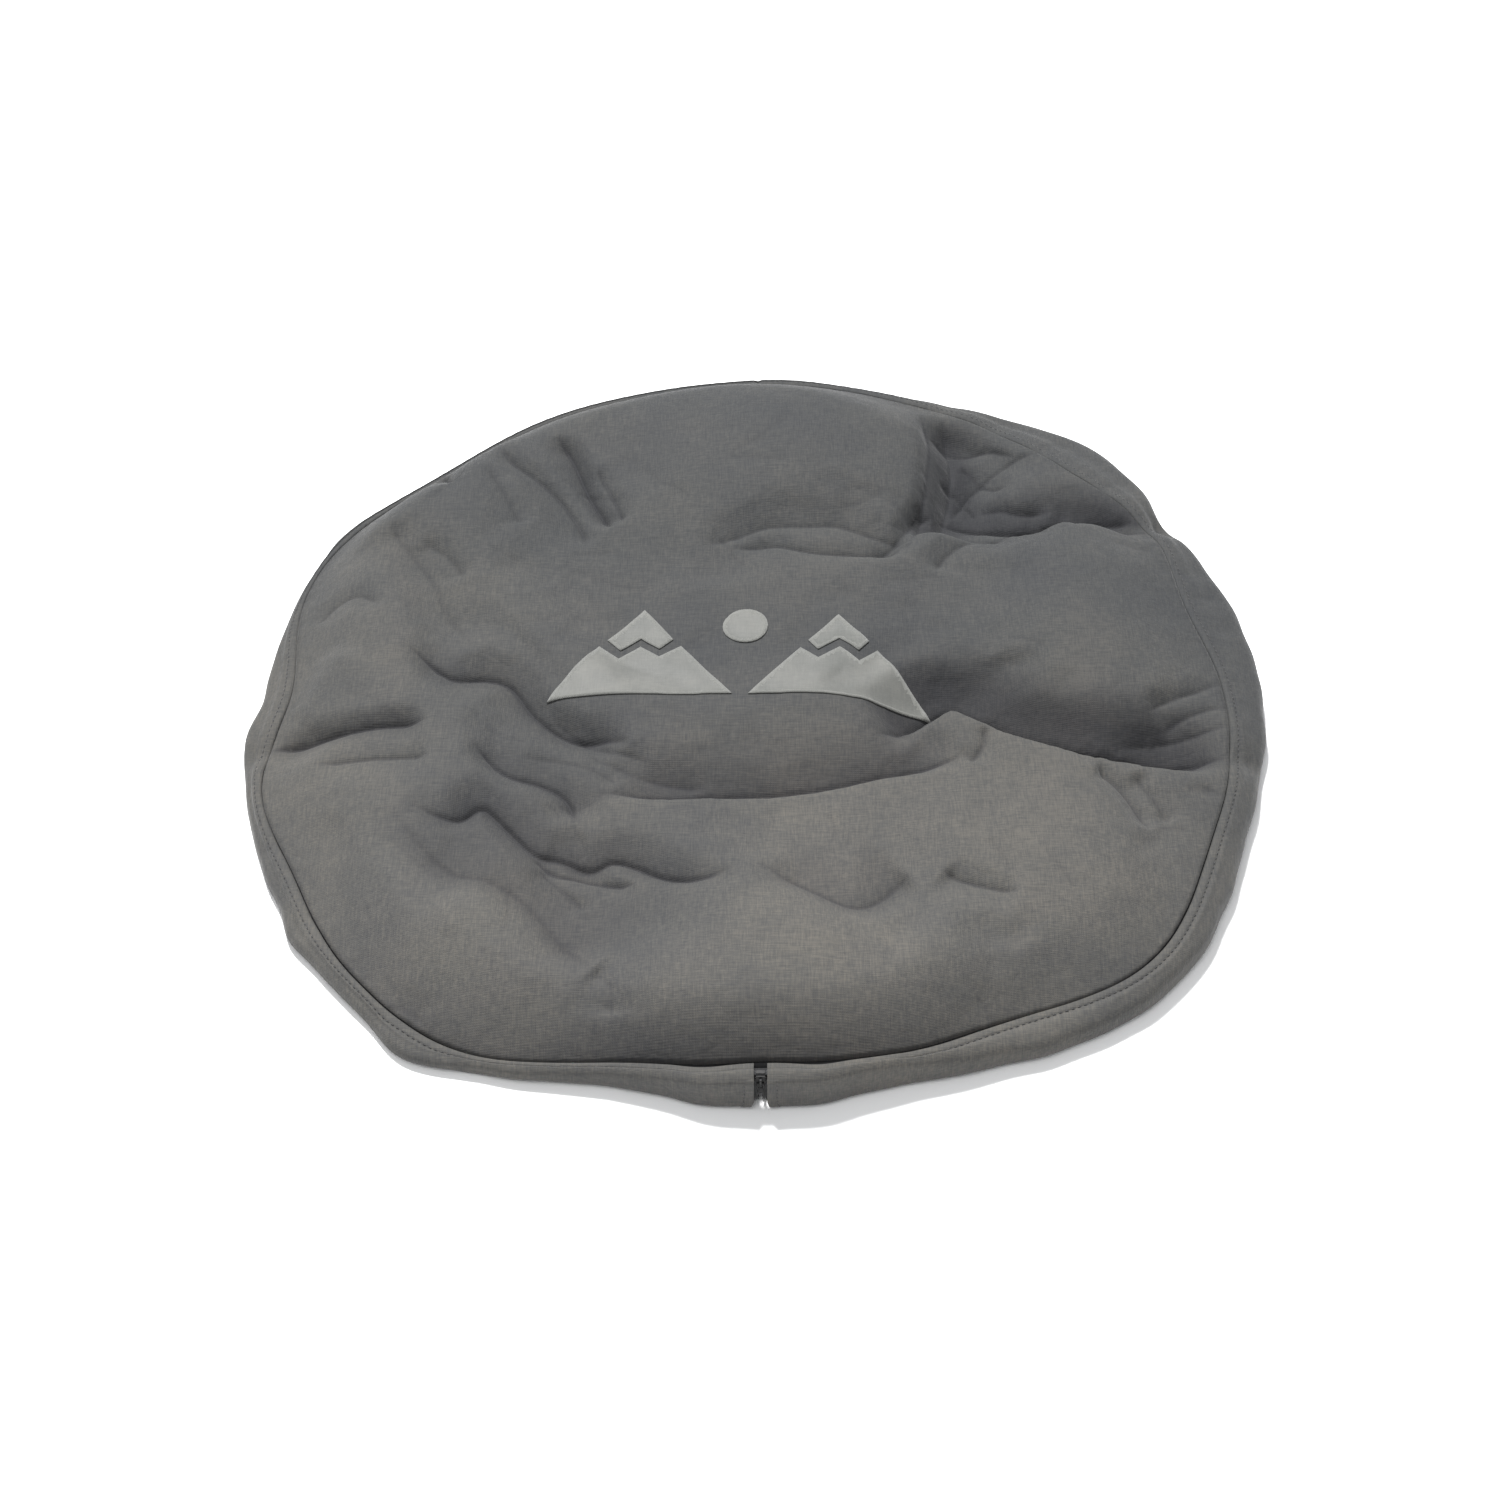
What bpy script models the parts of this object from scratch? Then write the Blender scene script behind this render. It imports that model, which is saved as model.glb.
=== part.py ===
"""Soft cloth cover for a spare wheel, empty and collapsed, lying face up on a flat surface.

A round face panel is sewn to a side band. The band rolls outwards, drops to the surface and is
turned under towards an elasticated hem, which leaves a round mouth for the wheel. The band's two
ends meet at the front in a slit with a zip, drawn here open, with its slider at the closed end.

Metres, +Z up, the surface is Z = 0, and the slit faces -Y. The origin is the middle of the
cover's footprint. Directions around the cover are measured from +X, anticlockwise, about a
vertical line through the slit.
"""

import math

import bmesh
import bpy
from mathutils import Vector

# ---------------------------------------------------------------- driving dimensions
CLOTH = 0.0016  # coated canvas
GAP = 0.0003  # between touching pieces
SLIT_X = 0.007  # the slit is a little to the right of the middle
SLIT_DIRECTION = math.radians(270)

# Sixteen directions, 22.5 degrees apart, starting at +X.
OUTLINE = (0.374, 0.377, 0.386, 0.357, 0.357, 0.356, 0.354, 0.374,
           0.378, 0.387, 0.394, 0.365, 0.357, 0.361, 0.381, 0.367)
SEAM_INSET = (0.034, 0.030, 0.036, 0.026, 0.012, 0.010, 0.010, 0.012,
              0.020, 0.016, 0.013, 0.018, 0.025, 0.022, 0.018, 0.022)
SEAM_HEIGHT = (0.032, 0.031, 0.031, 0.029, 0.026, 0.025, 0.025, 0.026,
               0.029, 0.028, 0.027, 0.030, 0.0375, 0.031, 0.030, 0.031)

CROWN = 0.004  # the most that the roll stands above the face seam
FOLD_ROUND = 0.007  # radius of the bottom fold
TURN_UNDER = 0.135  # from the outline to the middle of the hem
HEM_RADIUS = 0.0045
HEM_CLOTH = 0.0012
ELASTIC_RADIUS = 0.0024
ELASTIC_INSET = 0.003  # the elastic's ends are this far inside the casing's
BINDING_THICK = 0.0014
BINDING_DROP = 0.008
JOIN_TAPE_HALF_WIDTH = 0.008
JOIN_TAPE_THICK = 0.001
END_PATCH_HALF_WIDTH = 0.010
END_PATCH_THICK = 0.0008

HALF_SLIT = 0.0043  # half the gap between the band's ends
HALF_SLIT_AT_HEM = 0.014  # the open zip lets the ends part under the cover

FACE_RINGS = 10
FACE_RIM = 0.88  # share of the radius where the face starts to drop to its seam
FACE_LEVEL = 0.040
EMBLEM_LEVEL = 0.043
EMBLEM_CENTRE = Vector((-0.012, 0.026))
EMBLEM_FLAT = Vector((0.200, 0.110))  # half sizes of the level area around the emblem
EMBLEM_THICK = 0.0006

# Broad swells and hollows of the slack face: centre, radius, height.
SWELLS = (
    ((0.02, -0.260), 0.085, 0.012),
    ((-0.20, -0.200), 0.090, 0.009),
    ((0.22, -0.210), 0.090, 0.008),
    ((0.02, -0.125), 0.060, -0.008),
    ((0.26, 0.060), 0.080, 0.007),
    ((-0.27, 0.030), 0.080, 0.005),
    ((0.02, 0.250), 0.090, 0.012),
    ((0.21, 0.215), 0.070, -0.007),
    ((-0.20, 0.190), 0.080, 0.010),
)

STEP = math.radians(6)
FIRST_STEP = math.radians(6.5)  # the station beside the slit's edge

# Zip, size 4.5: offsets across the slit from its middle, and depths from the tape's middle.
TOOTH_TIP = 0.0012
TOOTH_ROOT = 0.0019
TEETH_BACK = 0.0030
TEETH_HALF_DEPTH = 0.0012
TOOTH_PITCH = 0.0031
TAPE_EDGE = 0.0033
TAPE_OUTER = 0.0130
TAPE_THICK = 0.0007
FACING_OUTER = 0.0160
FACING_TOP = 0.0305
TAPE_TOP = 0.0322
FACING_THICK = 0.0010
FACING_DEPTH = CLOTH + 2 * GAP  # depth below the band's outer side, with a little slack
TAPE_DEPTH = FACING_DEPTH + FACING_THICK + GAP
ZIP_DEPTH = TAPE_DEPTH + TAPE_THICK / 2

SLIDER_LENGTH = 0.0104
SLIDER_HALF_WIDTH = 0.0039
SLIDER_TOP = 0.0316
PLATE_INNER = 0.0015  # depth of a plate's inner and outer side from the tape's middle
PLATE_OUTER = 0.0025
POST_HALF_WIDTH = 0.0008
FLANGE_INNER = 0.0033
FLANGE_LIP = 0.00065
BAIL_HALF_WIDTH = 0.0006
BAIL_TOP = 0.0050
BAIL_HALF_LENGTH = 0.0036
BAIL_LEG = 0.0010
BAIL_UNDER = 0.0040
PULL_DEPTH = 0.00325  # pivot's height over the tape's middle
PULL_DROP = 0.0014  # pivot's place below the slider's middle
PULL_BAR = 0.00045
PULL_LENGTH = 0.0098
PULL_HALF_WIDTH = 0.0022
PULL_HOLE_HALF_WIDTH = 0.0013
PULL_HOLE_LENGTH = 0.0044

THREAD = 0.0005  # radius
STITCH_FROM_SEAM = 0.006

# One colour and finish for each kind of material.
CANVAS = ("canvas", (0.115, 0.115, 0.112), 0.82, 0.0)
LINING = ("lining", (0.075, 0.075, 0.075), 0.90, 0.0)
THREAD_GREY = ("thread", (0.060, 0.060, 0.062), 0.70, 0.0)
ELASTIC = ("elastic", (0.030, 0.030, 0.030), 0.75, 0.0)
TAPE_BLACK = ("zip_tape", (0.018, 0.018, 0.018), 0.85, 0.0)
RESIN = ("zip_resin", (0.015, 0.015, 0.015), 0.35, 0.0)
NICKEL = ("nickel", (0.55, 0.54, 0.52), 0.28, 1.0)
SILVER_PRINT = ("silver_print", (0.46, 0.47, 0.44), 0.50, 0.0)


# ---------------------------------------------------------------- helpers
def clear_scene():
    for obj in list(bpy.data.objects):
        bpy.data.objects.remove(obj, do_unlink=True)


def material(name, colour, roughness, metallic):
    made = bpy.data.materials.get(name)
    if made is None:
        made = bpy.data.materials.new(name)
        made.use_nodes = True
        shader = made.node_tree.nodes["Principled BSDF"]
        shader.inputs["Base Color"].default_value = (*colour, 1.0)
        shader.inputs["Roughness"].default_value = roughness
        shader.inputs["Metallic"].default_value = metallic
    return made


def add_object(name, bm, finish, smooth=True):
    mesh = bpy.data.meshes.new(name)
    bm.to_mesh(mesh)
    bm.free()
    if smooth:
        mesh.shade_smooth()
        mesh.set_sharp_from_angle(angle=math.radians(40))
    mesh.materials.append(material(*finish))
    obj = bpy.data.objects.new(name, mesh)
    bpy.context.collection.objects.link(obj)
    return obj


def smoothstep(low, high, value):
    share = min(1.0, max(0.0, (value - low) / (high - low)))
    return share * share * (3 - 2 * share)


def around(values, direction):
    """A smooth closed curve through values that are equally spaced around the cover."""
    count = len(values)
    place = (direction / (2 * math.pi) * count) % count
    index = int(place)
    share = place - index
    a, b, c, d = (values[(index + k) % count] for k in (-1, 0, 1, 2))
    return b + 0.5 * share * (c - a + share * (2 * a - 5 * b + 4 * c - d
                                               + share * (3 * (b - c) + d - a)))


def footprint_middle():
    """The radii are counted from the slit's line, so the footprint's middle is found from them."""
    points = [(SLIT_X + around(OUTLINE, turn) * math.cos(turn), around(OUTLINE, turn) * math.sin(turn))
              for turn in (math.radians(k) for k in range(360))]
    xs, ys = zip(*points)
    return Vector(((min(xs) + max(xs)) / 2, (min(ys) + max(ys)) / 2))


MIDDLE = footprint_middle()
ZIP_X = SLIT_X - MIDDLE.x  # the far join is at the same X, opposite the slit
CENTRE_Y = -MIDDLE.y


def place(radius, direction, height):
    """A point of the cover. Within a few degrees of the slit the band is straight, not round."""
    turn = (direction - SLIT_DIRECTION + math.pi) % (2 * math.pi) - math.pi
    straight = 1 - smoothstep(math.radians(4), math.radians(10), abs(turn))
    radius = radius * (1 + straight * (1 / math.cos(turn) - 1))
    return Vector((ZIP_X + radius * math.cos(direction), CENTRE_Y + radius * math.sin(direction), height))


SLIT_RADIUS = around(OUTLINE, SLIT_DIRECTION)
WALL_Y = CENTRE_Y - SLIT_RADIUS  # the band's outer side at the slit


# ---------------------------------------------------------------- the cover's shape
def band_section(direction):
    """(radius, height) of the side band's outer side, from the face seam to the bottom fold."""
    outer = around(OUTLINE, direction)
    height = around(SEAM_HEIGHT, direction)
    width = around(SEAM_INSET, direction)
    crown = min(CROWN, 0.3 * width)
    return [
        (outer - width + CLOTH, height),
        (outer - 0.65 * width, height + crown),
        (outer - 0.22 * width, height + 0.6 * crown),
        (outer, 0.88 * height),
        (outer, FOLD_ROUND),
        (outer - 0.10 * FOLD_ROUND, 0.48 * FOLD_ROUND),
        (outer - 0.48 * FOLD_ROUND, 0.10 * FOLD_ROUND),
        (outer - FOLD_ROUND, 0.0),
    ]


def seam_radius(direction):
    return around(OUTLINE, direction) - around(SEAM_INSET, direction)


def face_height(x, y):
    """Height of the face panel's outer side, away from its rim."""
    height = FACE_LEVEL
    for (cx, cy), radius, rise in SWELLS:
        height += rise * math.exp(-((x - cx) ** 2 + (y - cy) ** 2) / radius**2)
    off = max(abs(x - EMBLEM_CENTRE.x) / EMBLEM_FLAT.x, abs(y - EMBLEM_CENTRE.y) / EMBLEM_FLAT.y)
    level = 1 - smoothstep(1.0, 1.35, off)
    return height + level * (EMBLEM_LEVEL - height)


def half_gap(radius):
    """Half the slit's width at a radius under the cover."""
    hem = SLIT_RADIUS - TURN_UNDER
    share = smoothstep(0, 1, (SLIT_RADIUS - radius) / (SLIT_RADIUS - hem))
    return HALF_SLIT + share * (HALF_SLIT_AT_HEM - HALF_SLIT)


# Turns from the slit to the far join. The first is the slit's edge, whose turn depends on the gap.
SLIT_EDGE = None
TURNS = (SLIT_EDGE, FIRST_STEP, *(STEP * k for k in range(2, round(math.pi / STEP))), math.pi)


def station(turn, side, radius, height, gap):
    """A point at one of the turns, on the left (side -1) or the right (side 1) of the slit."""
    if turn is SLIT_EDGE:
        turn = math.asin(gap / radius)
    elif turn == math.pi:
        turn -= math.asin(GAP / 2 / radius)
    return place(radius, SLIT_DIRECTION + side * turn, height)


def direction_of(turn, side):
    return SLIT_DIRECTION + side * (turn or 0.0)


# ---------------------------------------------------------------- solids
def sheet(name, rows, finish, thick, closed=False):
    """Cloth from a grid of points. The thickness goes to the back of the side that faces out."""
    bm = bmesh.new()
    grid = [[bm.verts.new(point) for point in row] for row in rows]
    for near, far in zip(grid, grid[1:]):
        for k in range(len(near) if closed else len(near) - 1):
            n = (k + 1) % len(near)
            bm.faces.new((near[k], near[n], far[n], far[k]))
    obj = add_object(name, bm, finish)
    solid = obj.modifiers.new("cloth", "SOLIDIFY")
    solid.thickness = thick
    solid.offset = -1
    solid.use_even_offset = True
    solid.use_rim = True
    return obj


def loft(name, rings, finish, smooth=False):
    """A closed solid through rings of points that all turn the same way."""
    bm = bmesh.new()
    grid = [[bm.verts.new(point) for point in ring] for ring in rings]
    for near, far in zip(grid, grid[1:]):
        for k in range(len(near)):
            n = (k + 1) % len(near)
            bm.faces.new((near[k], near[n], far[n], far[k]))
    bm.faces.new(grid[0][::-1])
    bm.faces.new(grid[-1])
    bmesh.ops.recalc_face_normals(bm, faces=bm.faces)
    return add_object(name, bm, finish, smooth)


def prism(name, outline, low, high, finish):
    """A flat plate: an outline in X and Y between two heights."""
    return loft(name, [[Vector((x, y, z)) for x, y in outline] for z in (low, high)], finish)


def side_rows(rows, side):
    """The grid's faces look outwards on both halves when the left half's rows are reversed."""
    return rows if side > 0 else [row[::-1] for row in rows]


def name_of(stem, side):
    return f"{stem}_{'right' if side > 0 else 'left'}"


# ---------------------------------------------------------------- cloth
def face_panel():
    count = round(2 * math.pi / STEP)
    bm = bmesh.new()
    middle = bm.verts.new((ZIP_X, CENTRE_Y, face_height(ZIP_X, CENTRE_Y)))
    rings = []
    for ring in range(1, FACE_RINGS + 1):
        share = ring / FACE_RINGS
        row = []
        for k in range(count):
            direction = 2 * math.pi * k / count
            radius = (seam_radius(direction) - CLOTH) * share
            point = place(radius, direction, 0)
            rim = smoothstep(FACE_RIM, 1.0, share)
            height = face_height(point.x, point.y)
            point.z = height + rim * (around(SEAM_HEIGHT, direction) - height)
            row.append(bm.verts.new(point))
        rings.append(row)
    for k in range(count):
        n = (k + 1) % count
        bm.faces.new((middle, rings[0][k], rings[0][n]))
        for near, far in zip(rings, rings[1:]):
            bm.faces.new((near[k], far[k], far[n], near[n]))
    obj = add_object("face_panel", bm, CANVAS)
    solid = obj.modifiers.new("cloth", "SOLIDIFY")
    solid.thickness = CLOTH
    solid.offset = -1
    return obj


def side_band(side):
    rows = []
    for turn in TURNS:
        section = band_section(direction_of(turn, side))
        rows.append([station(turn, side, radius, height, HALF_SLIT) for radius, height in section])
    return sheet(name_of("side_band", side), side_rows(rows, side), CANVAS, CLOTH)


def turned_under(side):
    """The rest of the band, from the bottom fold to the hem, flat on the surface."""
    rows = []
    for turn in TURNS:
        outer = around(OUTLINE, direction_of(turn, side))
        start = outer - FOLD_ROUND - 0.0006
        end = outer - TURN_UNDER + HEM_RADIUS + 2 * GAP
        radii = [start + (end - start) * k / 3 for k in range(4)]
        rows.append([station(turn, side, radius, 0.0, half_gap(radius)) for radius in radii])
    return sheet(name_of("turned_under", side), side_rows(rows, side), CANVAS, CLOTH)


def hem_line(turn, side):
    return around(OUTLINE, direction_of(turn, side)) - TURN_UNDER


def hem_casing(side):
    """The hem's tube, flat below, with its ends open at the slit and at the far join."""
    corners = 6
    rows = []
    for turn in TURNS:
        middle = hem_line(turn, side)
        row = []
        for k in range(corners):
            angle = 2 * math.pi * k / corners
            radius = middle + HEM_RADIUS / math.cos(math.pi / corners) * math.cos(angle)
            height = HEM_RADIUS - HEM_RADIUS / math.cos(math.pi / corners) * math.sin(angle)
            row.append(station(turn, side, radius, height, HALF_SLIT_AT_HEM))
        rows.append(row)
    return sheet(name_of("hem_casing", side), side_rows(rows, side), CANVAS, HEM_CLOTH, closed=True)


def elastic_cord():
    """One length of round elastic inside both casings, its ends caught just inside the slit."""
    gap = HALF_SLIT_AT_HEM + ELASTIC_INSET
    left, right = ([station(turn, side, hem_line(turn, side), HEM_RADIUS, gap) for turn in TURNS]
                   for side in (-1, 1))
    line = left[:-1] + right[::-1]
    curve = bpy.data.curves.new("elastic_cord", "CURVE")
    curve.dimensions = "3D"
    curve.bevel_depth = ELASTIC_RADIUS
    curve.bevel_resolution = 1
    curve.use_fill_caps = True
    spline = curve.splines.new("POLY")
    spline.points.add(len(line) - 1)
    for point, position in zip(spline.points, line):
        point.co = (*position, 1.0)
    curve.materials.append(material(*ELASTIC))
    bpy.context.collection.objects.link(bpy.data.objects.new("elastic_cord", curve))


def seam_binding():
    """The bound seam allowance, hanging inside the cover under the whole face seam."""
    count = round(2 * math.pi / STEP)
    half = BINDING_THICK / 2
    rings = []
    for k in range(count):
        direction = 2 * math.pi * k / count
        radius = seam_radius(direction)
        top = around(SEAM_HEIGHT, direction) - CLOTH - 4 * GAP
        corners = ((radius - half, top), (radius + half, top),
                   (radius + half, top - BINDING_DROP), (radius - half, top - BINDING_DROP))
        rings.append([place(r, direction, z) for r, z in corners])
    bm = bmesh.new()
    grid = [[bm.verts.new(point) for point in ring] for ring in rings]
    for k in range(count):
        near, far = grid[k], grid[(k + 1) % count]
        for c in range(4):
            n = (c + 1) % 4
            bm.faces.new((near[c], near[n], far[n], far[c]))
    bmesh.ops.recalc_face_normals(bm, faces=bm.faces)
    add_object("seam_binding", bm, LINING)


def along_section(section, distance):
    """The point at a distance along a section, and the outward direction there."""
    for (r0, z0), (r1, z1) in zip(section, section[1:]):
        length = math.hypot(r1 - r0, z1 - z0)
        if distance <= length:
            break
        distance -= length
    share = min(1.0, distance / length)
    along = Vector(((r1 - r0) / length, (z1 - z0) / length))
    return Vector((r0, z0)) + share * length * along, Vector((-along.y, along.x))


def face_topstitch(side):
    """The row of stitching that holds the seam allowance down on the band, as one thread."""
    rings = []
    for turn in TURNS:
        direction = direction_of(turn, side)
        distance = min(STITCH_FROM_SEAM, 0.25 * around(SEAM_INSET, direction))
        spot, out = along_section(band_section(direction), distance)
        spot += out * (THREAD + GAP)
        ring = []
        for k in range(4):
            angle = math.pi / 2 * k
            ring.append(station(turn, side, spot.x + THREAD * math.cos(angle),
                                spot.y + THREAD * math.sin(angle), HALF_SLIT + 0.002))
        rings.append(ring)
    return loft(name_of("face_topstitch", side), rings, THREAD_GREY)


def band_join_tape():
    """Tape inside the cover over the seam that joins the two halves of the band."""
    half = JOIN_TAPE_HALF_WIDTH
    section = band_section(SLIT_DIRECTION + math.pi)
    (wall, wall_top), (_, wall_bottom) = section[3:5]
    back = CENTRE_Y + wall - CLOTH - 4 * GAP
    front = back - JOIN_TAPE_THICK
    outline = ((ZIP_X - half, front), (ZIP_X + half, front), (ZIP_X + half, back), (ZIP_X - half, back))
    return prism("band_join_tape", outline, wall_bottom + 3 * GAP, wall_top - 3 * GAP, LINING)


# ---------------------------------------------------------------- slit and zip
def slit_path(depth, top, steps=4):
    """Points down the wall at a depth inside the band, round the bottom fold and in to the hem,
    each with the direction that faces out of the cover there."""
    corner = FOLD_ROUND - depth
    path = [(Vector((WALL_Y + depth, top)), Vector((-1, 0)))]
    for k in range(steps + 1):
        angle = math.pi / 2 * k / steps
        out = Vector((-math.cos(angle), -math.sin(angle)))
        path.append((Vector((WALL_Y + depth + corner, FOLD_ROUND)) + corner * out, out))
    hem = CENTRE_Y - (SLIT_RADIUS - TURN_UNDER) - HEM_RADIUS - 0.003
    for share in (0.25, 0.5, 0.75, 1.0):
        y = WALL_Y + FOLD_ROUND + share * (hem - WALL_Y - FOLD_ROUND)
        path.append((Vector((y, depth)), Vector((0, -1))))
    return path


def spread(point):
    """How far the slit's edge has moved outwards at a point of the path."""
    return half_gap(CENTRE_Y - point.x) - HALF_SLIT if point.y < FOLD_ROUND - 0.0001 else 0.0


def strip_along_slit(name, side, inner, outer, depth, thick, top, finish):
    """A flat strip beside the slit, from the wall's top to the hem."""
    rings = []
    for point, out in slit_path(depth + thick / 2, top):
        extra = spread(point)
        ring = []
        for x, d in ((inner, 1), (outer, 1), (outer, -1), (inner, -1)):
            at = point + out * (d * thick / 2)
            ring.append(Vector((ZIP_X + side * (x + extra), at.x, at.y)))
        rings.append(ring)
    return loft(name_of(name, side), rings, finish)


def slit_facing(side):
    return strip_along_slit("slit_facing", side, HALF_SLIT, FACING_OUTER, FACING_DEPTH,
                            FACING_THICK, FACING_TOP, CANVAS)


def zip_tape(side):
    return strip_along_slit("zip_tape", side, TAPE_EDGE, TAPE_OUTER, TAPE_DEPTH,
                            TAPE_THICK, TAPE_TOP, TAPE_BLACK)


def resampled(path, pitch):
    """Points at a constant spacing along a path, with their outward directions."""
    found, left = [], 0.0
    for (a, out_a), (b, out_b) in zip(path, path[1:]):
        length = (b - a).length
        while left <= length:
            share = left / length
            found.append((a.lerp(b, share), out_a.lerp(out_b, share).normalized()))
            left += pitch
        left -= length
    return found


def zip_teeth(side):
    """One row of moulded teeth: a backbone along the tape's edge, with a tooth at each pitch."""
    third = TOOTH_PITCH / 3
    rings = []
    for k, (point, out) in enumerate(resampled(slit_path(ZIP_DEPTH, SLIDER_TOP - 0.0004, 5), third)):
        tip = TOOTH_ROOT if k % 3 == 0 else TOOTH_TIP
        extra = spread(point)
        ring = []
        for x, d in ((tip, 1), (TEETH_BACK, 1), (TEETH_BACK, -1), (tip, -1)):
            at = point + out * (d * TEETH_HALF_DEPTH)
            ring.append(Vector((ZIP_X + side * (x + extra), at.x, at.y)))
        rings.append(ring)
    return loft(name_of("zip_teeth", side), rings, RESIN)


def zip_place(x, depth, height):
    """A point at the zip: across the slit, out from the tape's middle, and above the surface."""
    return Vector((ZIP_X + x, WALL_Y + ZIP_DEPTH - depth, height))


def block(x0, x1, d0, d1, z0, z1, bevel=0.0):
    """A box at the zip as a bmesh, with its corners eased."""
    bm = bmesh.new()
    bmesh.ops.create_cube(bm, size=1.0)
    low, high = zip_place(x0, d0, z0), zip_place(x1, d1, z1)
    for vert in bm.verts:
        vert.co = Vector(a + (b - a) * (c + 0.5) for a, b, c in zip(low, high, vert.co))
    bmesh.ops.recalc_face_normals(bm, faces=bm.faces)
    if bevel:
        bmesh.ops.bevel(bm, geom=bm.edges, offset=bevel, segments=1, affect="EDGES")
    return bm


def closed_end_stop():
    """The staple across both rows where the zip is closed for good."""
    bm = block(-TEETH_BACK, TEETH_BACK, -TEETH_HALF_DEPTH, TEETH_HALF_DEPTH,
               SLIDER_TOP + GAP, SLIDER_TOP + 0.0016, 0.0002)
    return add_object("zip_closed_end_stop", bm, NICKEL, smooth=False)


def open_end_stop(side):
    """The small stop at the hem end of a row of teeth."""
    point, _ = slit_path(ZIP_DEPTH, SLIDER_TOP)[-1]
    extra = spread(point)
    inner, outer = sorted((side * (TOOTH_TIP + extra), side * (TEETH_BACK + extra)))
    bm = bmesh.new()
    bmesh.ops.create_cube(bm, size=1.0)
    low = Vector((ZIP_X + inner, point.x + 0.0008, ZIP_DEPTH - TEETH_HALF_DEPTH))
    high = Vector((ZIP_X + outer, point.x + 0.0026, ZIP_DEPTH + TEETH_HALF_DEPTH))
    for vert in bm.verts:
        vert.co = Vector(a + (b - a) * (c + 0.5) for a, b, c in zip(low, high, vert.co))
    return add_object(name_of("zip_open_end_stop", side), bm, NICKEL, smooth=False)


def joined(base, parts):
    """Boolean union of hidden parts into a base object."""
    for k, part in enumerate(parts):
        part.hide_render = True
        part.display_type = "WIRE"
        union = base.modifiers.new(f"join_{k}", "BOOLEAN")
        union.operation = "UNION"
        union.object = part
    return base


def plate(name, outline, d0, d1, finish=NICKEL):
    """A flat plate at the zip: an outline across and up, between two depths."""
    return loft(name, [[zip_place(x, depth, z) for x, z in outline] for depth in (d0, d1)], finish)


def zip_slider():
    """Two plates held apart by a post, with lips round the teeth and a bail for the pull."""
    low, high = SLIDER_TOP - SLIDER_LENGTH, SLIDER_TOP
    middle = (low + high) / 2
    half, ease = SLIDER_HALF_WIDTH, 0.0012
    outline = [(-half, low + ease), (-half + ease, low), (half - ease, low), (half, low + ease),
               (half, high - ease), (half - ease, high), (-half + ease, high), (-half, high - ease)]
    inside = PLATE_INNER + 0.0004
    base = plate("zip_slider", outline, PLATE_INNER, PLATE_OUTER)
    parts = [plate("slider_back_plate", outline, -PLATE_OUTER, -PLATE_INNER)]
    post = [(0, low + 0.0008), (POST_HALF_WIDTH, low + 0.0024), (POST_HALF_WIDTH * 0.7, low + 0.0044),
            (-POST_HALF_WIDTH * 0.7, low + 0.0044), (-POST_HALF_WIDTH, low + 0.0024)]
    parts.append(plate("slider_post", post, -inside, inside))
    for end, sign in (("left", -1), ("right", 1)):
        x0, x1 = sorted((sign * FLANGE_INNER, sign * (half - 0.0001)))
        lip = [(x0, low + 0.0014), (x1, low + 0.0014), (x1, high - 0.0014), (x0, high - 0.0014)]
        parts.append(plate(f"slider_front_lip_{end}", lip, FLANGE_LIP, inside))
        parts.append(plate(f"slider_back_lip_{end}", lip, -inside, -FLANGE_LIP))
    # The bail is one bent strip, drawn as its side view and given its width across the slit.
    reach, under, over = BAIL_HALF_LENGTH, BAIL_UNDER, BAIL_TOP
    foot = PLATE_OUTER - 0.0004
    side_view = [(foot, -reach), (over - 0.0004, -reach), (over, -reach + 0.0006), (over, reach - 0.0006),
                 (over - 0.0004, reach), (foot, reach), (foot, reach - BAIL_LEG), (under, reach - BAIL_LEG),
                 (under, -reach + BAIL_LEG), (foot, -reach + BAIL_LEG)]
    parts.append(loft("slider_bail", [[zip_place(x, d, middle + z) for d, z in side_view]
                                      for x in (-BAIL_HALF_WIDTH, BAIL_HALF_WIDTH)], NICKEL))
    return joined(base, parts)


def zip_pull():
    """A flat tab that hangs from the bail by a bar, which is the pivot, at its upper end."""
    pivot = (SLIDER_TOP - SLIDER_LENGTH / 2) - PULL_DROP
    bottom = pivot - PULL_LENGTH
    depth = (PULL_DEPTH - PULL_BAR, PULL_DEPTH + PULL_BAR)
    base = add_object("zip_pull", block(-PULL_HALF_WIDTH, PULL_HALF_WIDTH, *depth, bottom,
                                        pivot - PULL_HOLE_LENGTH, 0.0002), NICKEL, smooth=False)
    parts = []
    for end, sign in (("left", -1), ("right", 1)):
        x0, x1 = sorted((sign * PULL_HOLE_HALF_WIDTH, sign * (PULL_HALF_WIDTH - 0.0001)))
        parts.append(add_object(f"pull_arm_{end}", block(x0, x1, depth[0] + 0.00005, depth[1] - 0.00005,
                                pivot - PULL_HOLE_LENGTH - 0.0005, pivot), NICKEL, smooth=False))
    bm = bmesh.new()
    bmesh.ops.create_cone(bm, cap_ends=True, segments=8, radius1=PULL_BAR, radius2=PULL_BAR,
                          depth=2 * (PULL_HALF_WIDTH - 0.0002))
    centre = zip_place(0, PULL_DEPTH, pivot)
    for vert in bm.verts:
        vert.co = centre + Vector((vert.co.z, vert.co.y, vert.co.x))
    bmesh.ops.recalc_face_normals(bm, faces=bm.faces)
    parts.append(add_object("pull_bar", bm, NICKEL, smooth=False))
    return joined(base, parts)


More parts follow.
